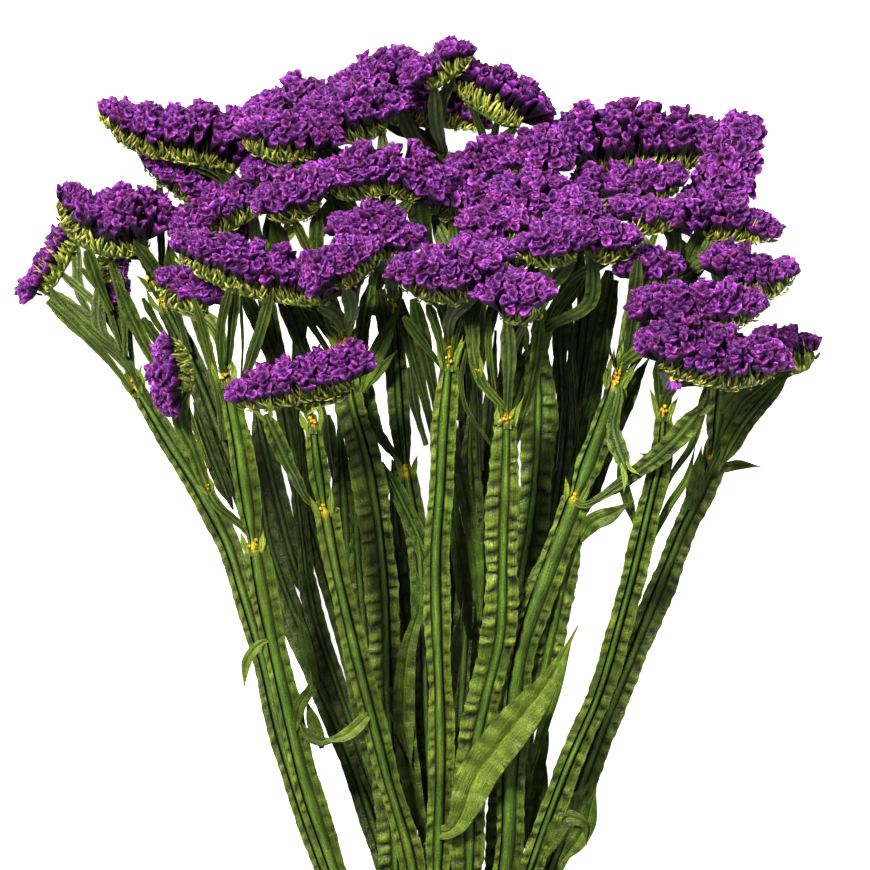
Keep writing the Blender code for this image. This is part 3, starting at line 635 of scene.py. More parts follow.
def stem_skin(skin, name, stem, nodes, rng):
    """The whole stem, from its cut end to its top, with wings that start again above each node."""
    fine = smooth_line(stem_points(stem), RING_STEP)
    keep = (fine[:, 1] > 12) | (np.arange(len(fine)) % 4 == 0)
    line = fine[keep]
    y = line[:, 1]
    top = y[-1]
    pucker, light, yellow, left_share, right_share, rib, grooves = STEM_TONES[name]
    full = stem.width * (1 - 0.35 * ease(y, top - 35, top))
    half = (STEM_WIDTH + (full - STEM_WIDTH) * ease(y, *WING_GROWTH)) / 2
    starts = np.full(len(y), 1.0)
    for node in nodes:
        above = y - node
        starts = np.where((above >= 0) & (above < 16),
                          np.minimum(starts, 0.5 + 0.5 * ease(above, 0, 14)), starts)
    left = half * starts * left_share * (1 + 0.12 * waves(y, (37, 71), rng))
    right = half * starts * right_share * (1 + 0.12 * waves(y, (41, 67), rng))
    thick = STEM_THICK * (1 - 0.25 * ease(y, top - 60, top))
    look = Blade(pucker, light, yellow, rib, rng.uniform(-0.05, 0.12), grooves)
    blade(skin, line, left, right, thick, look, rng, nodes)


def node_tails(skin, point, along, half, rng, size=1.0, light=1.0):
    """Pointed tails of the wings that end at a node."""
    up = np.array([0, 0, 1.0])
    side = unit(np.cross(along, up))
    for way in (-1, 1):
        length = size * rng.uniform(7, 12)
        start = point + side * way * half * 0.5 - along * 3.0 + up * 0.4
        middle = start + along * length * 0.5 + side * way * rng.uniform(0.3, 1.4) + up * 0.8
        tip = start + along * length + side * way * rng.uniform(0.2, 3.5) + up * rng.uniform(0.5, 3.0)
        look = Blade(0.5, light * rng.uniform(0.7, 1.1), 0.6, 0.2, 0, ())
        leaf(skin, smooth_line([start, middle, tip], 1.6), rng.uniform(1.6, 2.6) * size, look, rng)


def lump(skin, centre, radius, colour, rng):
    """A small uneven bead."""
    rings, around = 5, 7
    polar = np.linspace(0.25, math.pi - 0.25, rings)[:, None]
    turn = np.linspace(0, 2 * math.pi, around, endpoint=False)[None]
    size = radius * (1 + rng.uniform(-0.25, 0.25, (rings, around)))
    points = np.stack([size * np.sin(polar) * np.cos(turn), size * np.sin(polar) * np.sin(-turn),
                       size * np.cos(polar + 0 * turn) * -1], axis=-1) + centre
    colours = np.broadcast_to(colour, points.shape) * rng.uniform(0.75, 1.15, (rings, around, 1))
    loft(skin, points, tinted(colours, 0.5))


def node_spot(skin, point, rng, size=1.0):
    """Yellow and orange scales in the fork of a node."""
    for _ in range(4):
        away = np.array([rng.uniform(-1.3, 1.3), rng.uniform(-1.5, 1.5), rng.uniform(0.8, 1.5)]) * size
        colour = mix(NODE_YELLOW, NODE_ORANGE, rng.uniform(0, 0.8))
        lump(skin, point + away, rng.uniform(0.5, 0.85) * size, colour, rng)


def winged_branch(skin, line, low, high, rng, look):
    """A branch that widens towards its flowers."""
    share = np.linspace(0, 1, len(line))
    half = (low + (high - low) * ease(share, 0.1, 0.75) - 0.45 * high * ease(share, 0.85, 1)) / 2
    half = half * (1 + 0.08 * waves(share * 60, (17, 29), rng))
    thick = 1.7 * (1 - 0.2 * share)
    blade(skin, line, half, half, thick, look, rng, across=np.array([1, 0.5, 0.0]))


def comb(skin, head, rng):
    """The rachis under a spike, and its overlapping rows of pointed bracts."""
    line, _, up, side = spike_frames(head, 2.6)
    share = np.linspace(0, 1, len(line))
    full = (0.55 + 0.45 * ease(share, 0, 0.2)) * (1 - 0.5 * ease(share, 0.75, 1))
    rings = np.stack([line + side * (x * full)[:, None] + up * (z * full - 0.1)[:, None]
                      for x, z in RACHIS], axis=1)
    loft(skin, rings, tinted(np.broadcast_to(BRACT_GREEN * 0.7, rings.shape), 0.5))
    line, along, up, side = spike_frames(head, BRACT_STEP)
    count = len(line)
    share = np.linspace(0, 1, count)
    full = (0.6 + 0.4 * ease(share, 0, 0.2)) * (1 - 0.4 * ease(share, 0.8, 1))
    for way in (-1, 1):
        for low, near, high, far, wide in BRACT_ROWS:
            jitter = rng.uniform(-1, 1, (count, 6))
            slide = (jitter[:, 0] * 1.1 + 0.3)[:, None] * along
            root = line + slide + side * (way * near * full)[:, None] + up * (low * full)[:, None]
            lean = along * (1.4 + 2.8 * jitter[:, 1])[:, None]
            tip = (line + slide + lean + side * (way * (far + 1.3 * jitter[:, 2]) * full)[:, None]
                   + up * ((high + 1.7 * jitter[:, 3]) * full)[:, None])
            belly = side * (way * 0.8) - up * 0.35
            bract_row(skin, root, tip, belly, wide * (0.8 + 0.4 * jitter[:, 4]), jitter[:, 5], rng)


def bract_row(skin, root, tip, belly, wide, warm, rng):
    """Keeled, pointed scales from root to tip, all in one go."""
    count = len(root)
    way = tip - root
    across = unit(np.cross(way, belly))
    out = unit(np.cross(across, way))
    out = out * np.sign(np.sum(out * belly, axis=1, keepdims=True))
    shares = [0.0, 0.4, 0.75]
    halves = [0.7, 1.0, 0.6]
    bellies = [0.0, 0.6, 0.5]
    points = np.empty((count, 10, 3))
    tints = np.empty((count, 10, 4))
    brown = (rng.uniform(0, 1, count) < 0.2) * rng.uniform(0.2, 0.9, count)
    patches = waves(np.arange(count) * BRACT_STEP, (9, 17, 29), rng)
    bright = (rng.uniform(0.65, 1.25, count) * (0.95 + 0.45 * patches))[:, None]

    def shaded(share):
        colour = mix(BRACT_GREEN * 0.65, BRACT_TIP, np.clip(share ** 1.3 + 0.12 * warm, 0, 1))
        return mix(colour, BRACT_BROWN, brown * (0.25 + 0.75 * share) * 0.8) * bright

    for at, (share, half, bulge) in enumerate(zip(shares, halves, bellies)):
        centre = root + way * share + out * bulge
        width = (half * wide * 0.8)[:, None]
        points[:, 3 * at] = centre - across * width
        points[:, 3 * at + 1] = centre + out * 0.45 * half
        points[:, 3 * at + 2] = centre + across * width
        tints[:, 3 * at:3 * at + 3] = tinted(shaded(share), 0.4)[:, None]
        tints[:, 3 * at + 1, :3] *= 1.3
    points[:, 9] = tip
    tints[:, 9] = tinted(shaded(1.0), 0.4)
    faces = [(0, 2, 1), (6, 7, 9), (7, 8, 9), (8, 6, 9)]
    for low in (0, 3):
        for a, b in ((0, 1), (1, 2), (2, 0)):
            faces += [(low + a, low + b, low + 3 + b), (low + a, low + 3 + b, low + 3 + a)]
    faces = np.array(faces)
    handed = np.sum(np.cross(points[:, 2] - points[:, 0], way) * out, axis=1) < 0
    blocks = []
    for flip in (False, True):
        which = np.nonzero(handed == flip)[0]
        if len(which):
            block = (faces[None] + (which * 10)[:, None, None]).reshape(-1, 3)
            blocks.append(block[:, ::-1] if flip else block)
    skin.add(points.reshape(-1, 3), tints.reshape(-1, 4), blocks, 1)


# Purple pieces

def calyx_places(head, rng, swell):
    """Roots, mouths and directions of a head's calyces, over a long dome."""
    line, along, up, side = spike_frames(head, CALYX_ROW)
    last = len(line) - 1
    phase = rng.uniform(0, 6)
    rows = [(at, rng.uniform(-5, 7), 1.0) for at in range(last + 1)]
    rows += [(0, -15, 1.0), (0, -30, 0.97), (0, -48, 0.88), (last, 14, 0.97), (last, 30, 0.92),
             (last, 46, 0.82)]
    if swell[0] > 1.2:
        rows += [(0, 0, 0.6), (0, -24, 0.62), (0, -50, 0.6)]
    places = []
    for order, (at, lean, share) in enumerate(rows):
        tip = (1 - 0.25 * ease(at / last, 0.75, 1)) * (swell[0] + (swell[1] - swell[0]) * at / last)
        lumps = (1 + 0.15 * math.sin(at * CALYX_ROW * 2 * math.pi / LOBE_PITCH + phase)
                 + rng.uniform(-0.05, 0.05))
        height = (head.height - 1.0) * tip * share * lumps
        wide = math.sin(math.radians(head.spread + 14)) * height + 2.4
        fan = WIDEST_FAN * (1 - abs(lean) / 150)
        arc = math.radians(fan) * (height + wide) * 0.97
        count = max(3, round(arc / CALYX_SPACING) + 1)
        for step in range(count):
            angle = -fan + 2 * fan * (step + 0.5 * (order % 2)) / (count - 0.5) + rng.uniform(-4, 4)
            turn = math.radians(angle)
            tilt = math.radians(lean + rng.uniform(-6, 6))
            size = rng.uniform(0.9, 1.05)
            high = (1.6 + (height - 1.6) * math.cos(turn)) * size
            out = wide * math.sin(turn) * size
            mouth = (line[at] + up[at] * high * math.cos(tilt) + side[at] * out
                     + along[at] * height * math.sin(tilt))
            way = up[at] * (0.5 + math.cos(turn)) + side[at] * math.sin(turn) * rng.uniform(0.35, 0.75)
            way = (way / np.linalg.norm(way)
                   + along[at] * (math.tan(tilt) * 0.9 + rng.uniform(-0.15, 0.15)))
            places.append((line[at] + up[at] * 0.8 + side[at] * out * 0.3, mouth,
                           way / np.linalg.norm(way)))
    roots, mouths, ways = zip(*places)
    return np.array(roots), np.array(mouths), np.array(ways)


def calyces(skin, head, rng, swell):
    """Pleated, ruffled paper funnels, as closed thin cups."""
    roots, mouth, ways = calyx_places(head, rng, swell)
    count = len(roots)
    spin = rng.uniform(0, 2 * math.pi, count)
    first, second = crossways(ways, 2)
    across = first * np.cos(spin)[:, None] + second * np.sin(spin)[:, None]
    over = np.cross(ways, across)
    radius = CALYX_RADIUS * rng.uniform(0.8, 1.2, count)
    turn = np.linspace(0, 2 * math.pi, PLEATS, endpoint=False)[None]
    lobe = np.cos(3 * turn + rng.uniform(0, 6, (count, 1)))
    pleat = rng.uniform(-1, 1, (count, PLEATS))
    crumple = rng.uniform(-1, 1, (count, PLEATS))
    ruffle = np.cos(2 * turn + rng.uniform(0, 6, (count, 1))) * 0.45
    squeeze = 1 + 0.36 * np.cos(2 * turn + rng.uniform(0, 6, (count, 1)))
    flow = np.empty((count, PLEATS, 3))
    flow[..., 0] = turn * CALYX_RADIUS
    flow[..., 2] = rng.uniform(0, 100, (count, 1))

    def ring(share, pleating, drop, rough, step):
        """Points round the axis, at a share of the mouth's radius, drop below the mouth."""
        size = radius[:, None] * share * (1 + 0.08 * lobe + pleating * pleat) * squeeze
        fall = -drop + rough * (0.3 * lobe + 0.3 * crumple + ruffle)
        where = (mouth[:, None] + across[:, None] * (size * np.cos(turn))[..., None]
                 + over[:, None] * (size * np.sin(turn))[..., None] + ways[:, None] * fall[..., None])
        flow[..., 1] = drop
        return where[:, ::step], flow[:, ::step].copy()

    rings, flows = zip(*[ring(*row[:5]) for row in CUP_RINGS])
    rings = list(rings)
    rings[0] = rings[0] - (mouth - ways * CUP_RINGS[0][2])[:, None] + roots[:, None]
    bottom = (mouth - ways * rng.uniform(0.3, 1.4, (count, 1)))[:, None]
    points = np.concatenate(rings + [bottom], axis=1)
    flows = np.concatenate(list(flows) + [flow[:, :1]], axis=1)
    light = rng.uniform(0.6, 1.35, (count, 1, 1))
    hue = np.clip(rng.normal(0.35, 0.25, (count, 1)), 0, 1)
    base = mix(VIOLET, MAGENTA, hue)
    # Pleats pushed outwards are lighter and pleats pushed in are darker: painted light and shade on the
    # folds
    fold_light_and_shade = 1 + 0.35 * pleat
    tints = []
    # Rings with low lightness are pulled towards near-black purple, painted shade in the root and throat;
    # the rim is pulled towards pale lavender, a painted highlight
    for (*_, step, shade, painted_highlight), block in zip(CUP_RINGS, rings):
        colour = mix(SHADE_PURPLE * 0.6, base, np.full(block.shape[:2], min(shade + 0.15, 1)))
        colour = mix(colour, RIM_HIGHLIGHT, np.full(block.shape[:2], painted_highlight))
        tints.append(tinted(colour * light * (shade * fold_light_and_shade[:, ::step])[..., None] ** 0.8, 0.3))
    # The bottom point of each throat is near black: painted shade
    dark = np.broadcast_to(SHADE_PURPLE * 0.5, (count, 1, 3))
    tints = np.concatenate(tints + [tinted(dark, 0.2)], axis=1)
    size = points.shape[1]
    blocks = [(block[None] + (np.arange(count) * size)[:, None, None]).reshape(-1, block.shape[1])
              for block in cup_faces()]
    low = points[..., 2].min()
    points[..., 2] = np.maximum(points[..., 2], 0.2 + 0.1 * (points[..., 2] - low))
    skin.add(points.reshape(-1, 3), tints.reshape(-1, 4), blocks, 0, flows.reshape(-1, 3))


def cup_faces():
    """Faces of one calyx: rings of half, half, full, full and half count, and a bottom point."""
    half = PLEATS // 2
    sizes = [half, half, PLEATS, PLEATS, half]
    starts = np.concatenate([[0], np.cumsum(sizes)])
    quads, threes = [], []
    for at in range(len(sizes) - 1):
        low, high = starts[at], starts[at + 1]
        if sizes[at] == sizes[at + 1]:
            for step in range(sizes[at]):
                after = (step + 1) % sizes[at]
                quads.append((low + step, low + after, high + after, high + step))
        elif sizes[at] < sizes[at + 1]:
            for step in range(half):
                after = (step + 1) % half
                a, b, c = (high + 2 * step, high + 2 * step + 1, high + (2 * step + 2) % PLEATS)
                threes += [(low + step, b, a), (low + step, low + after, b), (low + after, c, b)]
        else:
            for step in range(half):
                after = (step + 1) % half
                a, b, c = (low + 2 * step, low + 2 * step + 1, low + (2 * step + 2) % PLEATS)
                threes += [(a, b, high + step), (b, high + after, high + step), (b, c, high + after)]
    inner = starts[-2]
    point = starts[-1]
    for step in range(half):
        threes.append((inner + step, inner + (step + 1) % half, point))
        if 0 < step < half - 1:
            threes.append((0, step + 1, step))
    return [np.array(quads), np.array(threes)]


def bloom_shade_core(skin, head):
    """The middle of a spike, where the calyces' tubes stand close: a body painted near black, as the shade
    among them.
    """
    line, _, up, side = spike_frames(head, 3.0)
    share = np.linspace(0, 1, len(line))
    high = head.height * 0.55 * (0.75 + 0.25 * ease(share, 0, 0.12)) * (1 - 0.35 * ease(share, 0.8, 1))
    wide = math.sin(math.radians(head.spread + 8)) * high + 1.4
    rings = np.stack([line + side * (x * wide)[:, None] + up * (z * high + 0.3)[:, None]
                      for x, z in CORE_SHAPE], axis=1)
    loft(skin, rings, tinted(np.broadcast_to(SHADE_PURPLE * 0.5, rings.shape), 0.2))


# The tie

TIE_TURNS = 5
TIE_CORNER = 3.0
CORD_STEP = 0.75
CORD_SIDES = 10
TWIST_PITCH = 5.0
# The two ends of the twine, from the knot outwards, with heights above the tie's top
KNOT_FIRST_END = [(-3, -1, 0), (0, 0.6, 1.0), (1.8, 1.4, 1.3), (0.4, 2.2, 0.5), (-1.6, 0.8, 0.9),
                  (-1.0, -1.4, 1.5), (0.8, -1.6, 0.8), (1.2, 0.2, 1.6), (5, 3.4, 0.7), (9, 7.5, 0.2),
                  (11, 12.5, -0.3)]
KNOT_OTHER_END = [(2, 1.2, 0), (-0.6, 0.2, 1.7), (-3.5, -2.4, 1.0), (-7, -7.0, 0.3), (-8, -12.5, -0.2)]


def twine_tie(skin, rng):
    """Twisted twine, wound round the stems, with a knot and two short ends on top."""
    widest = max(ROW_SIZES.values())
    radius = TIE_THICK / 2
    half_width = (widest * STEM_WIDTH + (widest - 1) * STEM_GAP) / 2 + TIE_CLEARANCE + radius
    half_height = (3 * STEM_THICK + 2 * STEM_GAP) / 2 + TIE_CLEARANCE + radius
    corner = TIE_CORNER + radius
    middle = half_height + radius
    loop = []
    for turn in range(4):
        x = (half_width - corner) * (1, -1, -1, 1)[turn]
        z = middle + (half_height - corner) * (1, 1, -1, -1)[turn]
        for step in range(7):
            angle = math.pi / 2 * (turn + step / 6)
            loop.append((x + corner * math.cos(angle), z + corner * math.sin(angle)))
    loop = np.array(loop)
    total = len(loop) * TIE_TURNS
    shift = np.arange(total + 1) / total
    y = -TIE_LENGTH / 2 + radius + (TIE_LENGTH - 2 * radius) * shift
    around = np.array([loop[at % len(loop)] for at in range(total + 1)])
    cord(skin, np.stack([around[:, 0], y, around[:, 1]], axis=1), radius, rng)
    top = 2 * half_height + radius
    for end in (KNOT_FIRST_END, KNOT_OTHER_END):
        points = [(x, y, top + z) for x, y, z in end]
        cord(skin, smooth_line(points, 0.9), radius * 0.9, rng)


def cord(skin, points, radius, rng):
    """A two-ply twisted cord along points."""
    line = smooth_line(points, CORD_STEP)
    first, second = crossways(tangents(line), 1)
    turn = -np.linspace(0, 2 * math.pi, CORD_SIDES, endpoint=False)[None]
    twist = (np.arange(len(line)) * CORD_STEP * 2 * math.pi / TWIST_PITCH)[:, None]
    size = (radius * (0.68 + 0.32 * np.abs(np.cos(turn - twist)))
            * (1 + 0.05 * rng.uniform(-1, 1, (len(line), CORD_SIDES))))
    rings = (line[:, None] + first[:, None] * (size * np.cos(turn))[..., None]
             + second[:, None] * (size * np.sin(turn))[..., None])
    shade = 0.55 + 0.45 * np.abs(np.cos(turn - twist))
    colours = TWINE * shade[..., None] * rng.uniform(0.85, 1.1, (len(line), 1, 1))
    loft(skin, rings, tinted(colours, 0.2))


# Materials

NOISE_LOW, NOISE_HIGH = 0.32, 0.68  # where most of the noise lies
PATCH_SCALE = 0.12
RELIEF_DEPTH = 0.0004
FLOOR_GLOW = 1.0


def new_material(name):
    """A material with nodes, and its node tree's nodes, links and shader."""
    made = bpy.data.materials.new(name)
    made.use_nodes = True
    nodes, links = made.node_tree.nodes, made.node_tree.links
    return made, nodes, links, nodes["Principled BSDF"]


def put(node, values):
    """Set a node's sockets."""
    for socket, value in values.items():
        node.inputs[socket].default_value = value
    return node


def material(name, rough, sheen, streaks, grain, bump, contrast, specular=0.3,
             sheen_tint=(0.8, 0.85, 0.6, 1)):
    """A material whose colour is the piece's tint, with streaks that run along it and fine grain."""
    made, nodes, links, shader = new_material(name)
    put(shader, {"Sheen Weight": sheen, "Sheen Roughness": 0.5, "Sheen Tint": sheen_tint,
                 "Specular IOR Level": specular})
    tint = nodes.new("ShaderNodeVertexColor")
    tint.layer_name = "Tint"
    flow = nodes.new("ShaderNodeAttribute")
    flow.attribute_name = "Flow"
    stretch = put(nodes.new("ShaderNodeMapping"), {"Scale": streaks})
    links.new(flow.outputs["Vector"], stretch.inputs["Vector"])

    def noise(scale, detail, vector, swing):
        """Noise, and the same noise stretched to lie between 1 - swing and 1 + swing."""
        texture = put(nodes.new("ShaderNodeTexNoise"), {"Scale": scale, "Detail": detail})
        links.new(vector, texture.inputs["Vector"])
        level = put(nodes.new("ShaderNodeMapRange"), {
            "From Min": NOISE_LOW, "From Max": NOISE_HIGH, "To Min": 1 - swing, "To Max": 1 + swing})
        links.new(texture.outputs["Fac"], level.inputs["Value"])
        return texture.outputs["Fac"], level.outputs["Result"]

    def maths(kind, first, second):
        node = nodes.new("ShaderNodeMath")
        node.operation = kind
        links.new(first, node.inputs[0])
        links.new(second, node.inputs[1])
        return node.outputs["Value"]

    lines, line_level = noise(1.0, 2.0, stretch.outputs["Vector"], contrast)
    dots, dot_level = noise(grain, 3.0, flow.outputs["Vector"], contrast * 0.7)
    _, patch_level = noise(PATCH_SCALE, 2.0, flow.outputs["Vector"], 0.15)
    colour = nodes.new("ShaderNodeVectorMath")
    colour.operation = "SCALE"
    links.new(tint.outputs["Color"], colour.inputs[0])
    total = maths("MULTIPLY", maths("MULTIPLY", line_level, dot_level), patch_level)
    links.new(total, colour.inputs["Scale"])
    links.new(colour.outputs["Vector"], shader.inputs["Base Color"])
    dull = put(nodes.new("ShaderNodeMapRange"), {"To Min": rough + 0.15, "To Max": rough - 0.2})
    links.new(tint.outputs["Alpha"], dull.inputs["Value"])
    links.new(maths("MULTIPLY", dull.outputs["Result"], patch_level), shader.inputs["Roughness"])
    relief = put(nodes.new("ShaderNodeBump"), {"Strength": bump, "Distance": RELIEF_DEPTH})
    links.new(maths("ADD", lines, dots), relief.inputs["Height"])
    links.new(relief.outputs["Normal"], shader.inputs["Normal"])
    return made


def floor_material():
    made, nodes, links, shader = new_material("floor_paper")
    put(shader, {"Roughness": 0.9, "Specular IOR Level": 0.1, "Emission Color": (1, 1, 1, 1),
                 "Emission Strength": FLOOR_GLOW})
    grain = put(nodes.new("ShaderNodeTexNoise"), {"Scale": 40.0})
    level = put(nodes.new("ShaderNodeMapRange"), {"To Min": 0.88, "To Max": 0.92})
    links.new(grain.outputs["Fac"], level.inputs["Value"])
    links.new(level.outputs["Result"], shader.inputs["Base Color"])
    return made


# The studio

LENS = 600.0
SENSOR = 36.0
PHOTO_SIZE = 870
LOOK_HEIGHT = 45.0  # the height at which a pixel is MM_PER_PIXEL wide
CAMERA_CLIP = (0.05, 60.0)
FLOOR_HALF = 12.0
FLOOR_GAP = 0.0004  # below the bunch
WORLD_LIGHT = 0.09
VIEW_GAMMA = 0.86
# Each light's name, place, target, size, power and colour
LIGHTS = [
    ("key", (-0.8, 1.1, 1.8), (0, 0.22, 0.05), 0.42, 93.0, (1.0, 0.965, 0.86)),
    ("fill", (1.2, 0.5, 1.6), (0, 0.2, 0.05), 1.0, 12.0, (1.0, 0.98, 0.9)),
]


def area_light(name, place, target, size, power, colour):
    data = bpy.data.lights.new(name, "AREA")
    data.shape = "DISK"
    data.size = size
    data.energy = power
    data.color = colour
    lamp = bpy.data.objects.new(name, data)
    lamp.location = place
    way = np.array(target) - np.array(place)
    lamp.rotation_euler = Vector(way).to_track_quat("-Z", "Y").to_euler()
    bpy.context.scene.collection.objects.link(lamp)


def studio():
    scene = bpy.context.scene
    centre_x = (PHOTO_SIZE / 2 - TIE_COLUMN) * MM_PER_PIXEL
    centre_y = (TIE_ROW - PHOTO_SIZE / 2) * MM_PER_PIXEL
    distance = PHOTO_SIZE * MM_PER_PIXEL * LENS / SENSOR
    data = bpy.data.cameras.new("camera")
    data.lens = LENS
    data.sensor_width = SENSOR
    data.clip_start, data.clip_end = CAMERA_CLIP
    camera = bpy.data.objects.new("camera", data)
    camera.location = (centre_x * MM, centre_y * MM, (LOOK_HEIGHT + distance) * MM)
    scene.collection.objects.link(camera)
    scene.camera = camera
    mesh = bpy.data.meshes.new("floor")
    corners = [(x * FLOOR_HALF, y * FLOOR_HALF, 0) for x, y in ((-1, -1), (1, -1), (1, 1), (-1, 1))]
    mesh.from_pydata(corners, [], [(0, 1, 2, 3)])
    mesh.materials.append(floor_material())
    floor = bpy.data.objects.new("floor", mesh)
    floor.location.z = -FLOOR_GAP
    scene.collection.objects.link(floor)
    world = bpy.data.worlds.new("studio")
    world.use_nodes = True
    put(world.node_tree.nodes["Background"], {"Color": (1, 1, 1, 1), "Strength": WORLD_LIGHT})
    scene.world = world
    for light in LIGHTS:
        area_light(*light)
    scene.view_settings.view_transform = "Standard"
    scene.view_settings.look = "None"
    scene.view_settings.gamma = VIEW_GAMMA
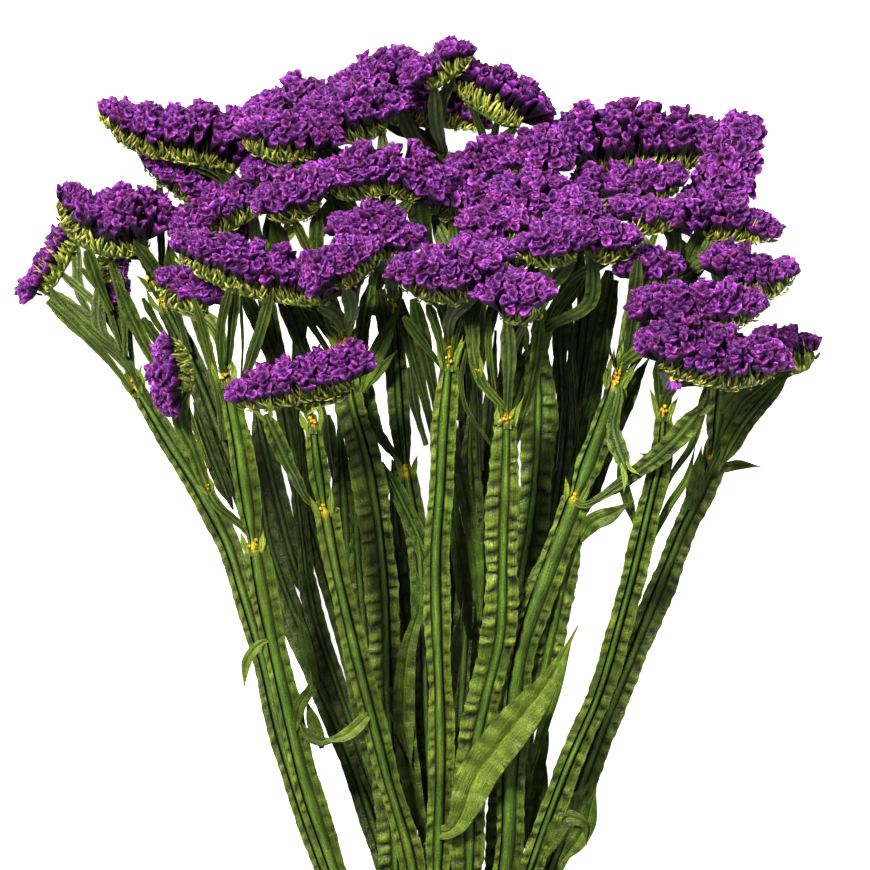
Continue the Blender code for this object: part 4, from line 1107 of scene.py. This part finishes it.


# More leaves, wings and branches of each stem: the kind, the row whose height it has, its height
# above that row at its base and at its tip, its width, how puckered, light and yellow it is (the
# low lightness of pieces inside the bunch is painted shade), and its line in the photograph
BLADES = {
    "stem_left_back": [
        ("leaf", "back", 2, 6, 4.5, 0.4, 0.6, 0.3, (318, 690), (304, 640), (296, 600)),
        ("wing", "back", 1, 3, 7.0, 0.4, 0.5, 0.3,
         (350, 740), (318, 670), (288, 600), (268, 540), (258, 480), (248, 430)),
        ("branch", "back", 2, 12, 5.0, 0.4, 0.8, 0.5,
         (222, 440), (214, 380), (202, 335), (188, 295), (178, 265)),
        ("branch", "back", 4, 14, 5.5, 0.3, 0.95, 0.4, (178, 402), (150, 355), (132, 320), (116, 282)),
        ("branch", "back", 6, 14, 2.6, 0.2, 0.8, 0.4, (178, 352), (158, 326), (142, 298)),
        ("branch", "back", 6, 16, 4.6, 0.3, 0.55, 0.2, (188, 352), (168, 292), (150, 262), (132, 240)),
        ("branch", "back", 6, 12, 3.2, 0.2, 1.1, 0.8, (208, 468), (190, 420), (178, 395), (172, 374)),
        ("wing", "back", 1, 4, 8.0, 0.4, 0.45, 0.2,
         (310, 610), (292, 560), (276, 500), (262, 440), (252, 395)),
        ("wing", "back", 2, 6, 7.0, 0.4, 0.45, 0.2, (232, 510), (210, 455), (192, 402)),
        ("branch", "back", 6, 16, 4.0, 0.3, 0.9, 0.4, (176, 368), (158, 342), (142, 318)),
        ("leaf", "back", 4, 10, 6.0, 0.2, 0.5, 0.2, (176, 290), (171, 264), (167, 238)),
    ],
    "stem_left_deep": [
        ("wing", "back", 1, 4, 8.0, 0.5, 0.5, 0.2,
         (385, 830), (362, 760), (338, 690), (318, 630), (305, 570), (297, 520)),
        ("wing", "middle", -10, 0, 9.0, 0.5, 0.55, 0.15,
         (398, 840), (376, 760), (362, 690), (353, 620), (347, 540), (342, 470), (338, 410)),
        ("branch", "back", 3, 20, 6.0, 0.4, 0.5, 0.2,
         (312, 520), (300, 440), (286, 390), (262, 330), (236, 280)),
        ("branch", "back", 6, 24, 5.0, 0.3, 0.6, 0.3, (300, 470), (296, 400), (300, 330), (312, 260)),
        ("branch", "back", 4, 20, 4.5, 0.3, 0.7, 0.3, (280, 380), (258, 320), (232, 270), (212, 236)),
        ("wing", "back", 3, 6, 5.5, 0.4, 0.5, 0.2, (308, 600), (303, 550), (298, 510), (294, 470)),
        ("branch", "back", 0, 6, 6.0, 0.3, 0.5, 0.2, (262, 262), (268, 236), (276, 208)),
    ],
    "stem_centre_deep": [
        ("wing", "middle", -12, -14, 8.0, 0.5, 0.5, 0.15,
         (420, 840), (410, 740), (402, 640), (394, 560), (386, 500)),
        ("wing", "middle", 0, 2, 7.5, 0.3, 0.9, 0.0, (436, 600), (424, 550), (404, 505), (383, 462)),
        ("leaf", "middle", 4, 9, 8.0, 1.0, 0.85, 0.3,
         (430, 850), (413, 790), (404, 720), (408, 650), (420, 600), (412, 553)),
        ("wing", "back", 3, 6, 9.0, 0.4, 0.5, 0.2,
         (425, 850), (415, 740), (408, 660), (400, 590), (395, 520), (392, 460)),
        ("branch", "middle", -4, 2, 6.0, 0.4, 0.5, 0.2, (398, 480), (396, 400), (388, 340), (380, 290)),
        ("branch", "middle", 0, 6, 5.0, 0.3, 0.6, 0.3, (440, 460), (425, 400), (412, 350), (400, 300)),
        ("branch", "middle", 2, 8, 8.0, 0.4, 0.35, 0.2, (432, 262), (422, 228), (418, 202)),
    ],
    "stem_centre_left": [
        ("wing", "middle", 1, 3, 7.5, 0.9, 0.65, 0.3, (412, 850), (410, 790), (408, 740), (402, 692)),
        ("branch", "middle", 0, 8, 4.5, 0.3, 1.0, 0.6, (342, 372), (334, 335), (326, 305), (318, 280)),
        ("branch", "middle", 1, 9, 3.6, 0.2, 1.1, 0.7, (344, 372), (350, 330), (356, 290), (358, 262)),
        ("branch", "middle", 0, 6, 3.4, 0.2, 0.9, 0.5, (340, 368), (318, 335), (300, 305), (290, 285)),
        ("branch", "middle", -2, 2, 5.5, 0.4, 1.25, 0.3, (366, 420), (362, 370), (363, 325), (372, 285)),
        ("leaf", "middle", 6, 12, 6.0, 0.5, 1.2, 0.5, (362, 392), (375, 358), (390, 328), (402, 300)),
        ("leaf", "middle", 6, 10, 3.5, 0.5, 1.0, 0.5, (366, 388), (382, 368), (398, 350)),
        ("branch", "middle", 0, 4, 4.5, 0.3, 0.9, 0.4, (336, 348), (322, 324), (306, 300)),
        ("branch", "middle", -2, 4, 6.0, 0.3, 0.5, 0.2, (371, 315), (376, 286), (381, 260)),
        ("leaf", "middle", 0, 4, 7.0, 0.2, 0.45, 0.2, (284, 262), (279, 238), (271, 214)),
    ],
    "stem_centre": [
        ("leaf", "front", -14, -6, 5.0, 0.6, 0.95, 0.5, (447, 720), (453, 660), (463, 602)),
        ("leaf", "front", -16, -10, 5.5, 0.3, 0.9, 0.3,
         (480, 620), (476, 560), (466, 500), (455, 450), (446, 405)),
        ("leaf", "front", -20, -14, 6.0, 0.3, 0.75, 0.3, (470, 640), (463, 580), (455, 520), (450, 460)),
        ("wing", "back", 0, 6, 8.0, 0.4, 0.45, 0.2,
         (444, 850), (448, 700), (452, 600), (456, 520), (456, 450), (452, 390)),
        ("wing", "front", -3, -3, 8.0, 1.0, 0.95, 0.3, (428, 875), (430, 858), (434, 838)),
        ("wing", "front", -3, -3, 9.0, 1.0, 1.0, 0.3, (463, 880), (464, 860), (462, 838)),
        ("branch", "front", 0, 6, 3.6, 0.3, 0.9, 0.5, (447, 375), (438, 335), (428, 305)),
        ("branch", "front", 0, 6, 3.0, 0.3, 1.0, 0.5, (450, 372), (457, 330), (468, 298)),
        ("branch", "front", -1, 4, 3.6, 0.3, 0.7, 0.4, (446, 372), (424, 345), (404, 318)),
        ("branch", "front", -4, 2, 4.2, 0.3, 0.8, 0.4, (452, 400), (462, 350), (474, 310), (486, 285)),
        ("branch", "front", -8, -3, 6.0, 0.3, 0.5, 0.2, (440, 420), (427, 360), (414, 300)),
        ("branch", "front", -8, -4, 4.0, 0.3, 0.7, 0.3, (426, 445), (415, 405), (410, 368)),
    ],
    "stem_top": [
        ("wing", "back", 2, 10, 8.5, 0.4, 0.45, 0.2,
         (470, 840), (480, 680), (484, 580), (488, 480), (492, 400), (496, 330)),
        ("wing", "middle", -14, -14, 8.0, 0.7, 0.6, 0.4,
         (455, 800), (462, 700), (468, 600), (472, 520), (470, 450), (472, 390)),
        ("branch", "back", 10, 22, 5.0, 0.3, 0.6, 0.3, (460, 420), (450, 340), (436, 280), (420, 230)),
        ("branch", "back", 10, 22, 5.0, 0.3, 0.6, 0.3, (470, 420), (486, 340), (500, 280), (508, 230)),
    ],
    "stem_centre_back": [
        ("wing", "middle", -12, -8, 9.0, 0.4, 0.5, 0.2,
         (510, 840), (520, 740), (532, 640), (546, 560), (558, 480), (566, 400), (572, 330)),
        ("wing", "back", 2, 8, 8.0, 0.4, 0.4, 0.2,
         (492, 850), (500, 720), (512, 600), (530, 500), (548, 420), (556, 350)),
        ("leaf", "middle", 2, 4, 8.5, 1.1, 0.8, 0.3, (528, 850), (535, 800), (540, 765), (541, 735)),
        ("branch", "middle", -4, 4, 5.0, 0.3, 0.6, 0.2, (480, 470), (478, 400), (476, 340), (484, 290)),
        ("branch", "middle", -8, 4, 5.0, 0.3, 0.6, 0.3, (500, 460), (512, 380), (524, 310), (540, 250)),
        ("leaf", "middle", 4, 8, 6.0, 0.8, 1.0, 0.3, (530, 800), (540, 752), (548, 702)),
        ("leaf", "middle", 0, 4, 6.0, 0.2, 0.6, 0.3, (322, 236), (328, 214), (333, 192)),
    ],
    "stem_right_deep": [
        ("wing", "middle", -16, -12, 6.0, 0.3, 0.75, 0.4,
         (548, 640), (560, 560), (574, 500), (588, 430), (600, 350), (606, 300)),
        ("branch", "middle", -14, -6, 3.2, 0.3, 0.8, 0.3, (578, 450), (574, 380), (570, 330), (566, 280)),
        ("branch", "middle", -16, -8, 6.0, 0.4, 0.75, 0.2,
         (560, 490), (580, 430), (596, 380), (605, 330), (614, 280)),
        ("branch", "back", 4, 12, 6.0, 0.4, 0.4, 0.2, (584, 400), (592, 350), (602, 310), (610, 270)),
        ("branch", "middle", 0, 5, 6.5, 0.3, 0.5, 0.2, (672, 270), (674, 246), (668, 218)),
        ("leaf", "middle", 0, 4, 7.0, 0.2, 0.7, 0.3, (688, 262), (698, 242), (712, 222)),
    ],
    "stem_centre_front": [
        ("leaf", "front", -8, -1, 13.5, 1.3, 0.95, 0.2,
         (458, 835), (463, 790), (474, 740), (486, 700), (492, 648)),
        ("branch", "front", 1, 4, 2.6, 0.2, 1.1, 0.7,
         (505, 466), (500, 425), (492, 385), (488, 340), (490, 315)),
        ("branch", "front", 1, 2, 1.7, 0.2, 0.8, 0.5,
         (505, 466), (486, 438), (466, 408), (461, 385), (466, 350)),
        ("branch", "front", 0.5, 2, 4.6, 0.4, 1.05, 0.4,
         (508, 462), (520, 425), (530, 390), (537, 350), (540, 315)),
    ],
    "stem_centre_right": [
        ("wing", "middle", -3, 3, 8.5, 0.6, 1.0, 0.1, (497, 470), (508, 430), (522, 385), (535, 335)),
        ("wing", "middle", -6, -6, 7.0, 0.4, 0.55, 0.2, (500, 700), (514, 600), (522, 520), (524, 470)),
        ("branch", "middle", 2, 10, 3.6, 0.2, 1.2, 0.7,
         (520, 440), (532, 380), (548, 330), (570, 298), (590, 270)),
        ("branch", "middle", 4, 12, 3.2, 0.2, 1.15, 0.8, (533, 330), (540, 295), (548, 262)),
        ("branch", "middle", -6, 0, 5.5, 0.4, 0.7, 0.3, (556, 470), (562, 400), (560, 340), (566, 290)),
    ],
    "stem_right_front": [
        ("wing", "front", -2, 1, 6.0, 0.7, 0.95, 0.3,
         (500, 640), (520, 610), (540, 575), (556, 545), (568, 512)),
        ("leaf", "front", 0, 5, 6.5, 1.2, 0.9, 0.4, (580, 540), (592, 522), (610, 514), (632, 500)),
        ("branch", "front", 0, 7, 4.6, 0.4, 0.7, 0.3,
         (580, 512), (600, 496), (620, 486), (645, 462), (668, 444)),
        ("branch", "front", 0, 4, 5.0, 0.4, 0.55, 0.3, (620, 375), (628, 340), (632, 300), (636, 262)),
        ("branch", "front", 0, 6, 4.4, 0.3, 0.8, 0.3, (628, 372), (642, 350), (658, 325)),
        ("branch", "front", 1, 3, 1.2, 0.1, 0.5, 0.2, (616, 372), (608, 350), (606, 330)),
        ("wing", "front", -4, -1, 11.0, 1.1, 1.1, 0.2,
         (524, 750), (540, 690), (553, 630), (566, 570), (584, 525)),
        ("leaf", "front", -4, 1, 4.0, 0.8, 1.0, 0.4, (530, 775), (545, 722), (562, 672), (573, 634)),
        ("wing", "front", -7, -4, 9.0, 0.5, 0.6, 0.2,
         (576, 530), (593, 480), (610, 432), (629, 390), (648, 358)),
    ],
    "stem_right": [
        ("leaf", "front", 0, 6, 4.0, 0.3, 1.0, 0.6, (634, 525), (627, 500), (620, 475), (618, 446)),
        ("leaf", "front", 1, 7, 3.0, 0.3, 0.9, 0.4, (656, 480), (655, 466), (647, 456), (637, 453)),
        ("branch", "front", -1, 2, 3.4, 0.2, 1.05, 0.6,
         (658, 500), (672, 472), (690, 445), (700, 410), (707, 380)),
        ("leaf", "front", 0, 3, 3.0, 0.3, 0.9, 0.5, (652, 540), (668, 505), (684, 480), (695, 440)),
        ("leaf", "front", 0, 3, 7.0, 0.5, 0.85, 0.3,
         (535, 868), (552, 838), (570, 818), (582, 822), (587, 846)),
        ("branch", "front", -2, 3, 3.6, 0.3, 0.9, 0.3, (656, 470), (662, 420), (668, 380), (664, 350)),
        ("leaf", "front", 0, 2, 7.0, 0.8, 0.95, 0.3, (562, 862), (584, 830), (597, 784)),
        ("branch", "front", -4, 1, 4.0, 0.3, 0.8, 0.3, (660, 430), (658, 395), (656, 362)),
    ],
    "stem_far_right": [
        ("branch", "back", 1, 30, 4.4, 0.3, 0.9, 0.4,
         (700, 490), (716, 460), (730, 430), (742, 405), (765, 385), (788, 368)),
        ("leaf", "back", 2, 4, 6.0, 1.0, 0.8, 0.3, (690, 510), (698, 480), (703, 445)),
        ("leaf", "back", 8, 20, 6.0, 0.4, 1.1, 0.6, (722, 412), (738, 394), (758, 370)),
        ("wing", "back", 8, 28, 7.5, 0.4, 1.1, 0.4, (720, 470), (742, 428), (765, 398), (792, 370)),
        ("branch", "back", 10, 20, 8.0, 0.4, 0.35, 0.2, (694, 310), (682, 265), (674, 236)),
    ],
    "stem_far_left": [
        ("branch", "back", 1, 3, 3.6, 0.3, 0.9, 0.4,
         (150, 405), (125, 360), (95, 335), (62, 305), (48, 288)),
        ("branch", "back", 1, 3, 3.4, 0.3, 0.85, 0.4, (140, 395), (122, 350), (115, 310), (103, 285)),
        ("branch", "back", 4, 8, 3.0, 0.2, 0.9, 0.5, (120, 350), (108, 312), (96, 285), (80, 268)),
        ("branch", "back", 4, 8, 4.0, 0.3, 0.9, 0.4, (124, 356), (122, 312), (117, 282), (110, 262)),
        ("branch", "back", 3, 5, 4.5, 0.3, 1.0, 0.5, (130, 390), (102, 354), (72, 324), (46, 300)),
        ("branch", "back", 8, 16, 5.0, 0.3, 0.8, 0.3, (110, 310), (97, 282), (86, 250)),
    ],
    "stem_left": [
        ("leaf", "front", 1, 5, 4.5, 0.5, 0.8, 0.3, (296, 730), (300, 705), (310, 688), (311, 670)),
        ("leaf", "front", 1, 4, 4.0, 0.3, 0.6, 0.2, (300, 722), (308, 735), (322, 741), (342, 738)),
        ("branch", "front", 0, 4, 3.2, 0.2, 1.0, 0.6, (226, 405), (214, 365), (204, 325), (196, 300)),
        ("branch", "front", 0, 6, 3.6, 0.2, 0.8, 0.4, (232, 400), (222, 355), (224, 320), (232, 290)),
        ("branch", "middle", 0, 2, 1.3, 0.1, 0.5, 0.3, (241, 385), (243, 345), (241, 300)),
        ("branch", "front", -6, 0, 4.5, 0.3, 0.7, 0.3, (236, 430), (246, 380), (262, 330), (272, 296)),
        ("branch", "front", -2, 2, 4.0, 0.3, 0.85, 0.4, (230, 370), (234, 325), (238, 290)),
        ("leaf", "front", 0, 2, 5.0, 0.6, 0.9, 0.4, (322, 748), (314, 724), (306, 698)),
    ],
    "stem_left_front": [
        ("wing", "middle", -6, -2, 8.5, 0.5, 0.6, 0.3,
         (404, 860), (388, 780), (372, 700), (364, 630), (358, 560), (354, 490), (350, 430)),
        ("branch", "middle", -10, -4, 6.0, 0.4, 0.55, 0.3, (330, 440), (312, 380), (296, 330), (278, 285)),
        ("branch", "middle", -6, -2, 5.0, 0.3, 0.45, 0.2, (336, 485), (331, 452), (327, 415)),
    ],
}


def photo_blade(skin, spec, rng):
    """One of BLADES: a leaf, a puckered wing or a slender branch."""
    kind, row, low, high, width, pucker, light, yellow, *pixels = spec
    base = row_height(row)
    points = []
    for at, pixel in enumerate(pixels):
        point = photo_point(pixel)
        share = at / (len(pixels) - 1)
        point[2] = base + ROW_SLOPES[row] * point[1] + low + (high - low) * share
        points.append(point)
    line = smooth_line(points, TWIG_STEP)
    look = Blade(pucker, light, yellow, 0.26, rng.uniform(-0.1, 0.15), ())
    if kind == "leaf":
        leaf(skin, line, width, look, rng, WING_GREEN)
    elif kind == "branch":
        winged_branch(skin, line, width * 0.5, width, rng, look)
    else:
        share = np.linspace(0, 1, len(line))
        half = width / 2 * (0.12 + 0.88 * ease(share, 0, 0.25)) * (1 - 0.9 * ease(share, 0.75, 1))
        thick = 2.2 * (1 - 0.7 * ease(share, 0.8, 1))
        blade(skin, line, half * rng.uniform(0.8, 1.2), half * rng.uniform(0.8, 1.2), thick, look, rng)


def more_branches(skin, head, main, look, rng):
    """Thinner branches that fan out from the main one to the rest of a long spike."""
    centre, _, up, _ = spike_frames(head, 2.0)
    extra = min(4, int(len(centre) * 2.0 / 11))
    ways = tangents(main)
    for step in range(extra):
        at = min(int(len(centre) * (step + 0.8) / (extra + 0.3)), len(centre) - 2)
        start_at = int(len(main) * rng.uniform(0.05, 0.5))
        start, way = main[start_at], ways[start_at]
        goal = centre[at] - up[at] * 3.2
        reach = goal - start
        if np.dot(unit(reach), way) < 0.7:
            continue
        middle = start + way * np.linalg.norm(reach) * 0.3 + reach * 0.25
        side_line = smooth_line([start, middle, goal], 1.7)
        tone = look._replace(light=look.light * rng.uniform(0.75, 1.2))
        winged_branch(skin, side_line, 1.5, rng.uniform(2.6, 4.2), rng, tone)
        if step == 0:
            node_tails(skin, start, way, 1.8, rng, 0.7)
            node_spot(skin, start, rng, 0.55)


# Assembly

def build_stem(name, stem, materials):
    skin = Skin()
    rng = generator(name)
    light, yellow = STEM_TONES[name][1:3]
    rooted = [head for head in HEADS.values() if head.stem == name]
    nodes = sorted({round(stem_at(name, head.root)[1], 1) for head in rooted})
    nodes += [stem_at(name, twig.line[0][1])[1] for twig in TWIGS if twig.stem == name]
    stem_skin(skin, name, stem, nodes, rng)
    line = STEM_LINES[name]
    along = tangents(line)
    for node in nodes:
        at = np.argmin(np.abs(line[:, 1] - node))
        node_tails(skin, line[at], along[at], stem.width / 2, rng, light=light)
        node_spot(skin, line[at] + along[at], rng)
    for head in rooted:
        look = Blade(0.4, light * rng.uniform(0.8, 1.05), yellow + 0.2, 0.34, rng.uniform(0.05, 0.2), ())
        main = branch_line(name, head, BRANCH_STEP)
        winged_branch(skin, main, 2.8, 5.4, rng, look)
        more_branches(skin, head, main, look, rng)
        comb(skin, head, rng)
    for spec in LEAVES:
        if spec.stem == name:
            side_leaf(skin, name, spec, rng, light, yellow)
    for spec in TWIGS:
        if spec.stem == name:
            side_twig(skin, name, spec, rng, light, yellow)
    for spec in BLADES.get(name, ()):
        photo_blade(skin, spec, rng)
    piece = skin.piece("look_" + name, materials, 60)
    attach(piece, "root")
    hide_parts(name)


def side_points(name, spec):
    """The line of a leaf or a twig from its stem."""
    stem = STEMS[name]
    root = stem_at(name, spec.line[0][1])
    low, high = spec.rise
    points = [root]
    for at, pixel in enumerate(spec.line):
        share = at / (len(spec.line) - 1)
        point = photo_point(pixel, root[2] + low + (high - low) * share)
        point[2] += (point[1] - root[1]) * ROW_SLOPES[stem.row]
        if np.linalg.norm(point - points[-1]) > 0.6:
            points.append(point)
    return points


def side_leaf(skin, name, spec, rng, light, yellow):
    line = smooth_line(side_points(name, spec), BRANCH_STEP)
    look = Blade(1.3, light * 0.9, yellow, 0.2, 0, ())
    colour = mix(WING_GREEN, WING_PALE_AND_HIGHLIGHT, 0.35)
    leaf(skin, line, spec.width * 1.05, look, rng, colour)


def side_twig(skin, name, spec, rng, light, yellow):
    line = smooth_line(side_points(name, spec), TWIG_STEP)
    look = Blade(0.6, light, yellow, 0.28, 0.1, ())
    winged_branch(skin, line, 2.6, spec.width, rng, look)
    tip = line[-1]
    way = unit(line[-1] - line[-4])
    node_tails(skin, tip, way, 2.0, rng, 0.9)


# How high a head's calyces stand at its base and at its tip, as a share of its height in the part
SWELLS = {
    "bloom_left_1": (1.5, 0.75), "bloom_left_4": (1.5, 0.9), "bloom_right_1": (1.4, 1.1),
    "bloom_top_4": (1.2, 1.1), "bloom_right_5": (1.25, 0.65), "bloom_right_4": (1.05, 0.7),
    "bloom_right_6": (1.1, 0.7), "bloom_centre_left_4": (1.05, 0.7), "bloom_far_left_1": (0.85, 0.8),
    "bloom_right_9": (1.15, 1.1), "bloom_centre_3": (1.3, 1.0), "bloom_centre_left_5": (1.1, 1.0),
}
FALLEN_FROM = "bloom_right_9"
FALLEN_TUBE = [(671, 367), (670, 375), (671, 382)]


def fallen_flower(skin, head, rng):
    """The withered flower that hangs from a head's base: a yellow tube with purple lobes."""
    height = head.z - 3.0
    tube = smooth_line([np.append(photo_point(pixel)[:2], height) for pixel in FALLEN_TUBE], 0.8)
    share = np.linspace(0, 1, len(tube))
    around = np.linspace(0, 2 * math.pi, 8, endpoint=False)
    size = 0.7 + 1.0 * share
    ring = np.stack([np.cos(around), np.zeros(8), -np.sin(around)], axis=-1)
    rings = tube[:, None] + ring[None] * size[:, None, None]
    colours = np.broadcast_to(mix(NODE_YELLOW, BRACT_TIP, 0.5 * share)[:, None], rings.shape)
    loft(skin, rings, tinted(colours, 0.4))
    look = Blade(0.5, 1.1, 0.0, 0.2, 0, ())
    for step in range(4):
        slant = (step - 1.5) * 1.1
        start = tube[-1] + np.array([slant * 0.5, 0.6, 0.3 * step])
        end = start + np.array([slant, -4.2 + 0.3 * abs(slant), 0.6])
        bend = (start + end) / 2 + np.array([0, 0, 0.4])
        leaf(skin, smooth_line([start, bend, end], 0.7), 2.4, look, rng, VIOLET)


def build_bloom(name, head, paper):
    skin = Skin()
    rng = generator(name)
    bloom_shade_core(skin, head)
    calyces(skin, head, rng, SWELLS.get(name, (1.0, 0.95)))
    if name == FALLEN_FROM:
        fallen_flower(skin, head, rng)
    piece = skin.piece("look_" + name, [paper], 75)
    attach(piece, "root")
    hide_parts(name)


def main():
    green = material("stem_skin", 0.5, 0.0, (2.4, 0.16, 1.0), 1.6, 0.9, 0.34, 0.5)
    scale = material("bract_scale", 0.6, 0.0, (2.5, 0.5, 1.0), 2.5, 0.6, 0.3)
    paper = material("calyx_paper", 0.65, 0.03, (1.05, 0.2, 1.0), 1.2, 1.0, 0.7, 0.2, (0.6, 0.4, 0.7, 1))
    twine = material("twine_fibre", 0.85, 0.3, (4.0, 4.0, 4.0), 6.0, 0.9, 0.25)
    for name, stem in STEMS.items():
        build_stem(name, stem, [green, scale])
    for name, head in HEADS.items():
        build_bloom(name, head, paper)
    skin = Skin()
    twine_tie(skin, generator("tie"))
    piece = skin.piece("look_tie", [twine], 60)
    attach(piece, "root")
    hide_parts("tie")
    studio()
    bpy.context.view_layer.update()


main()
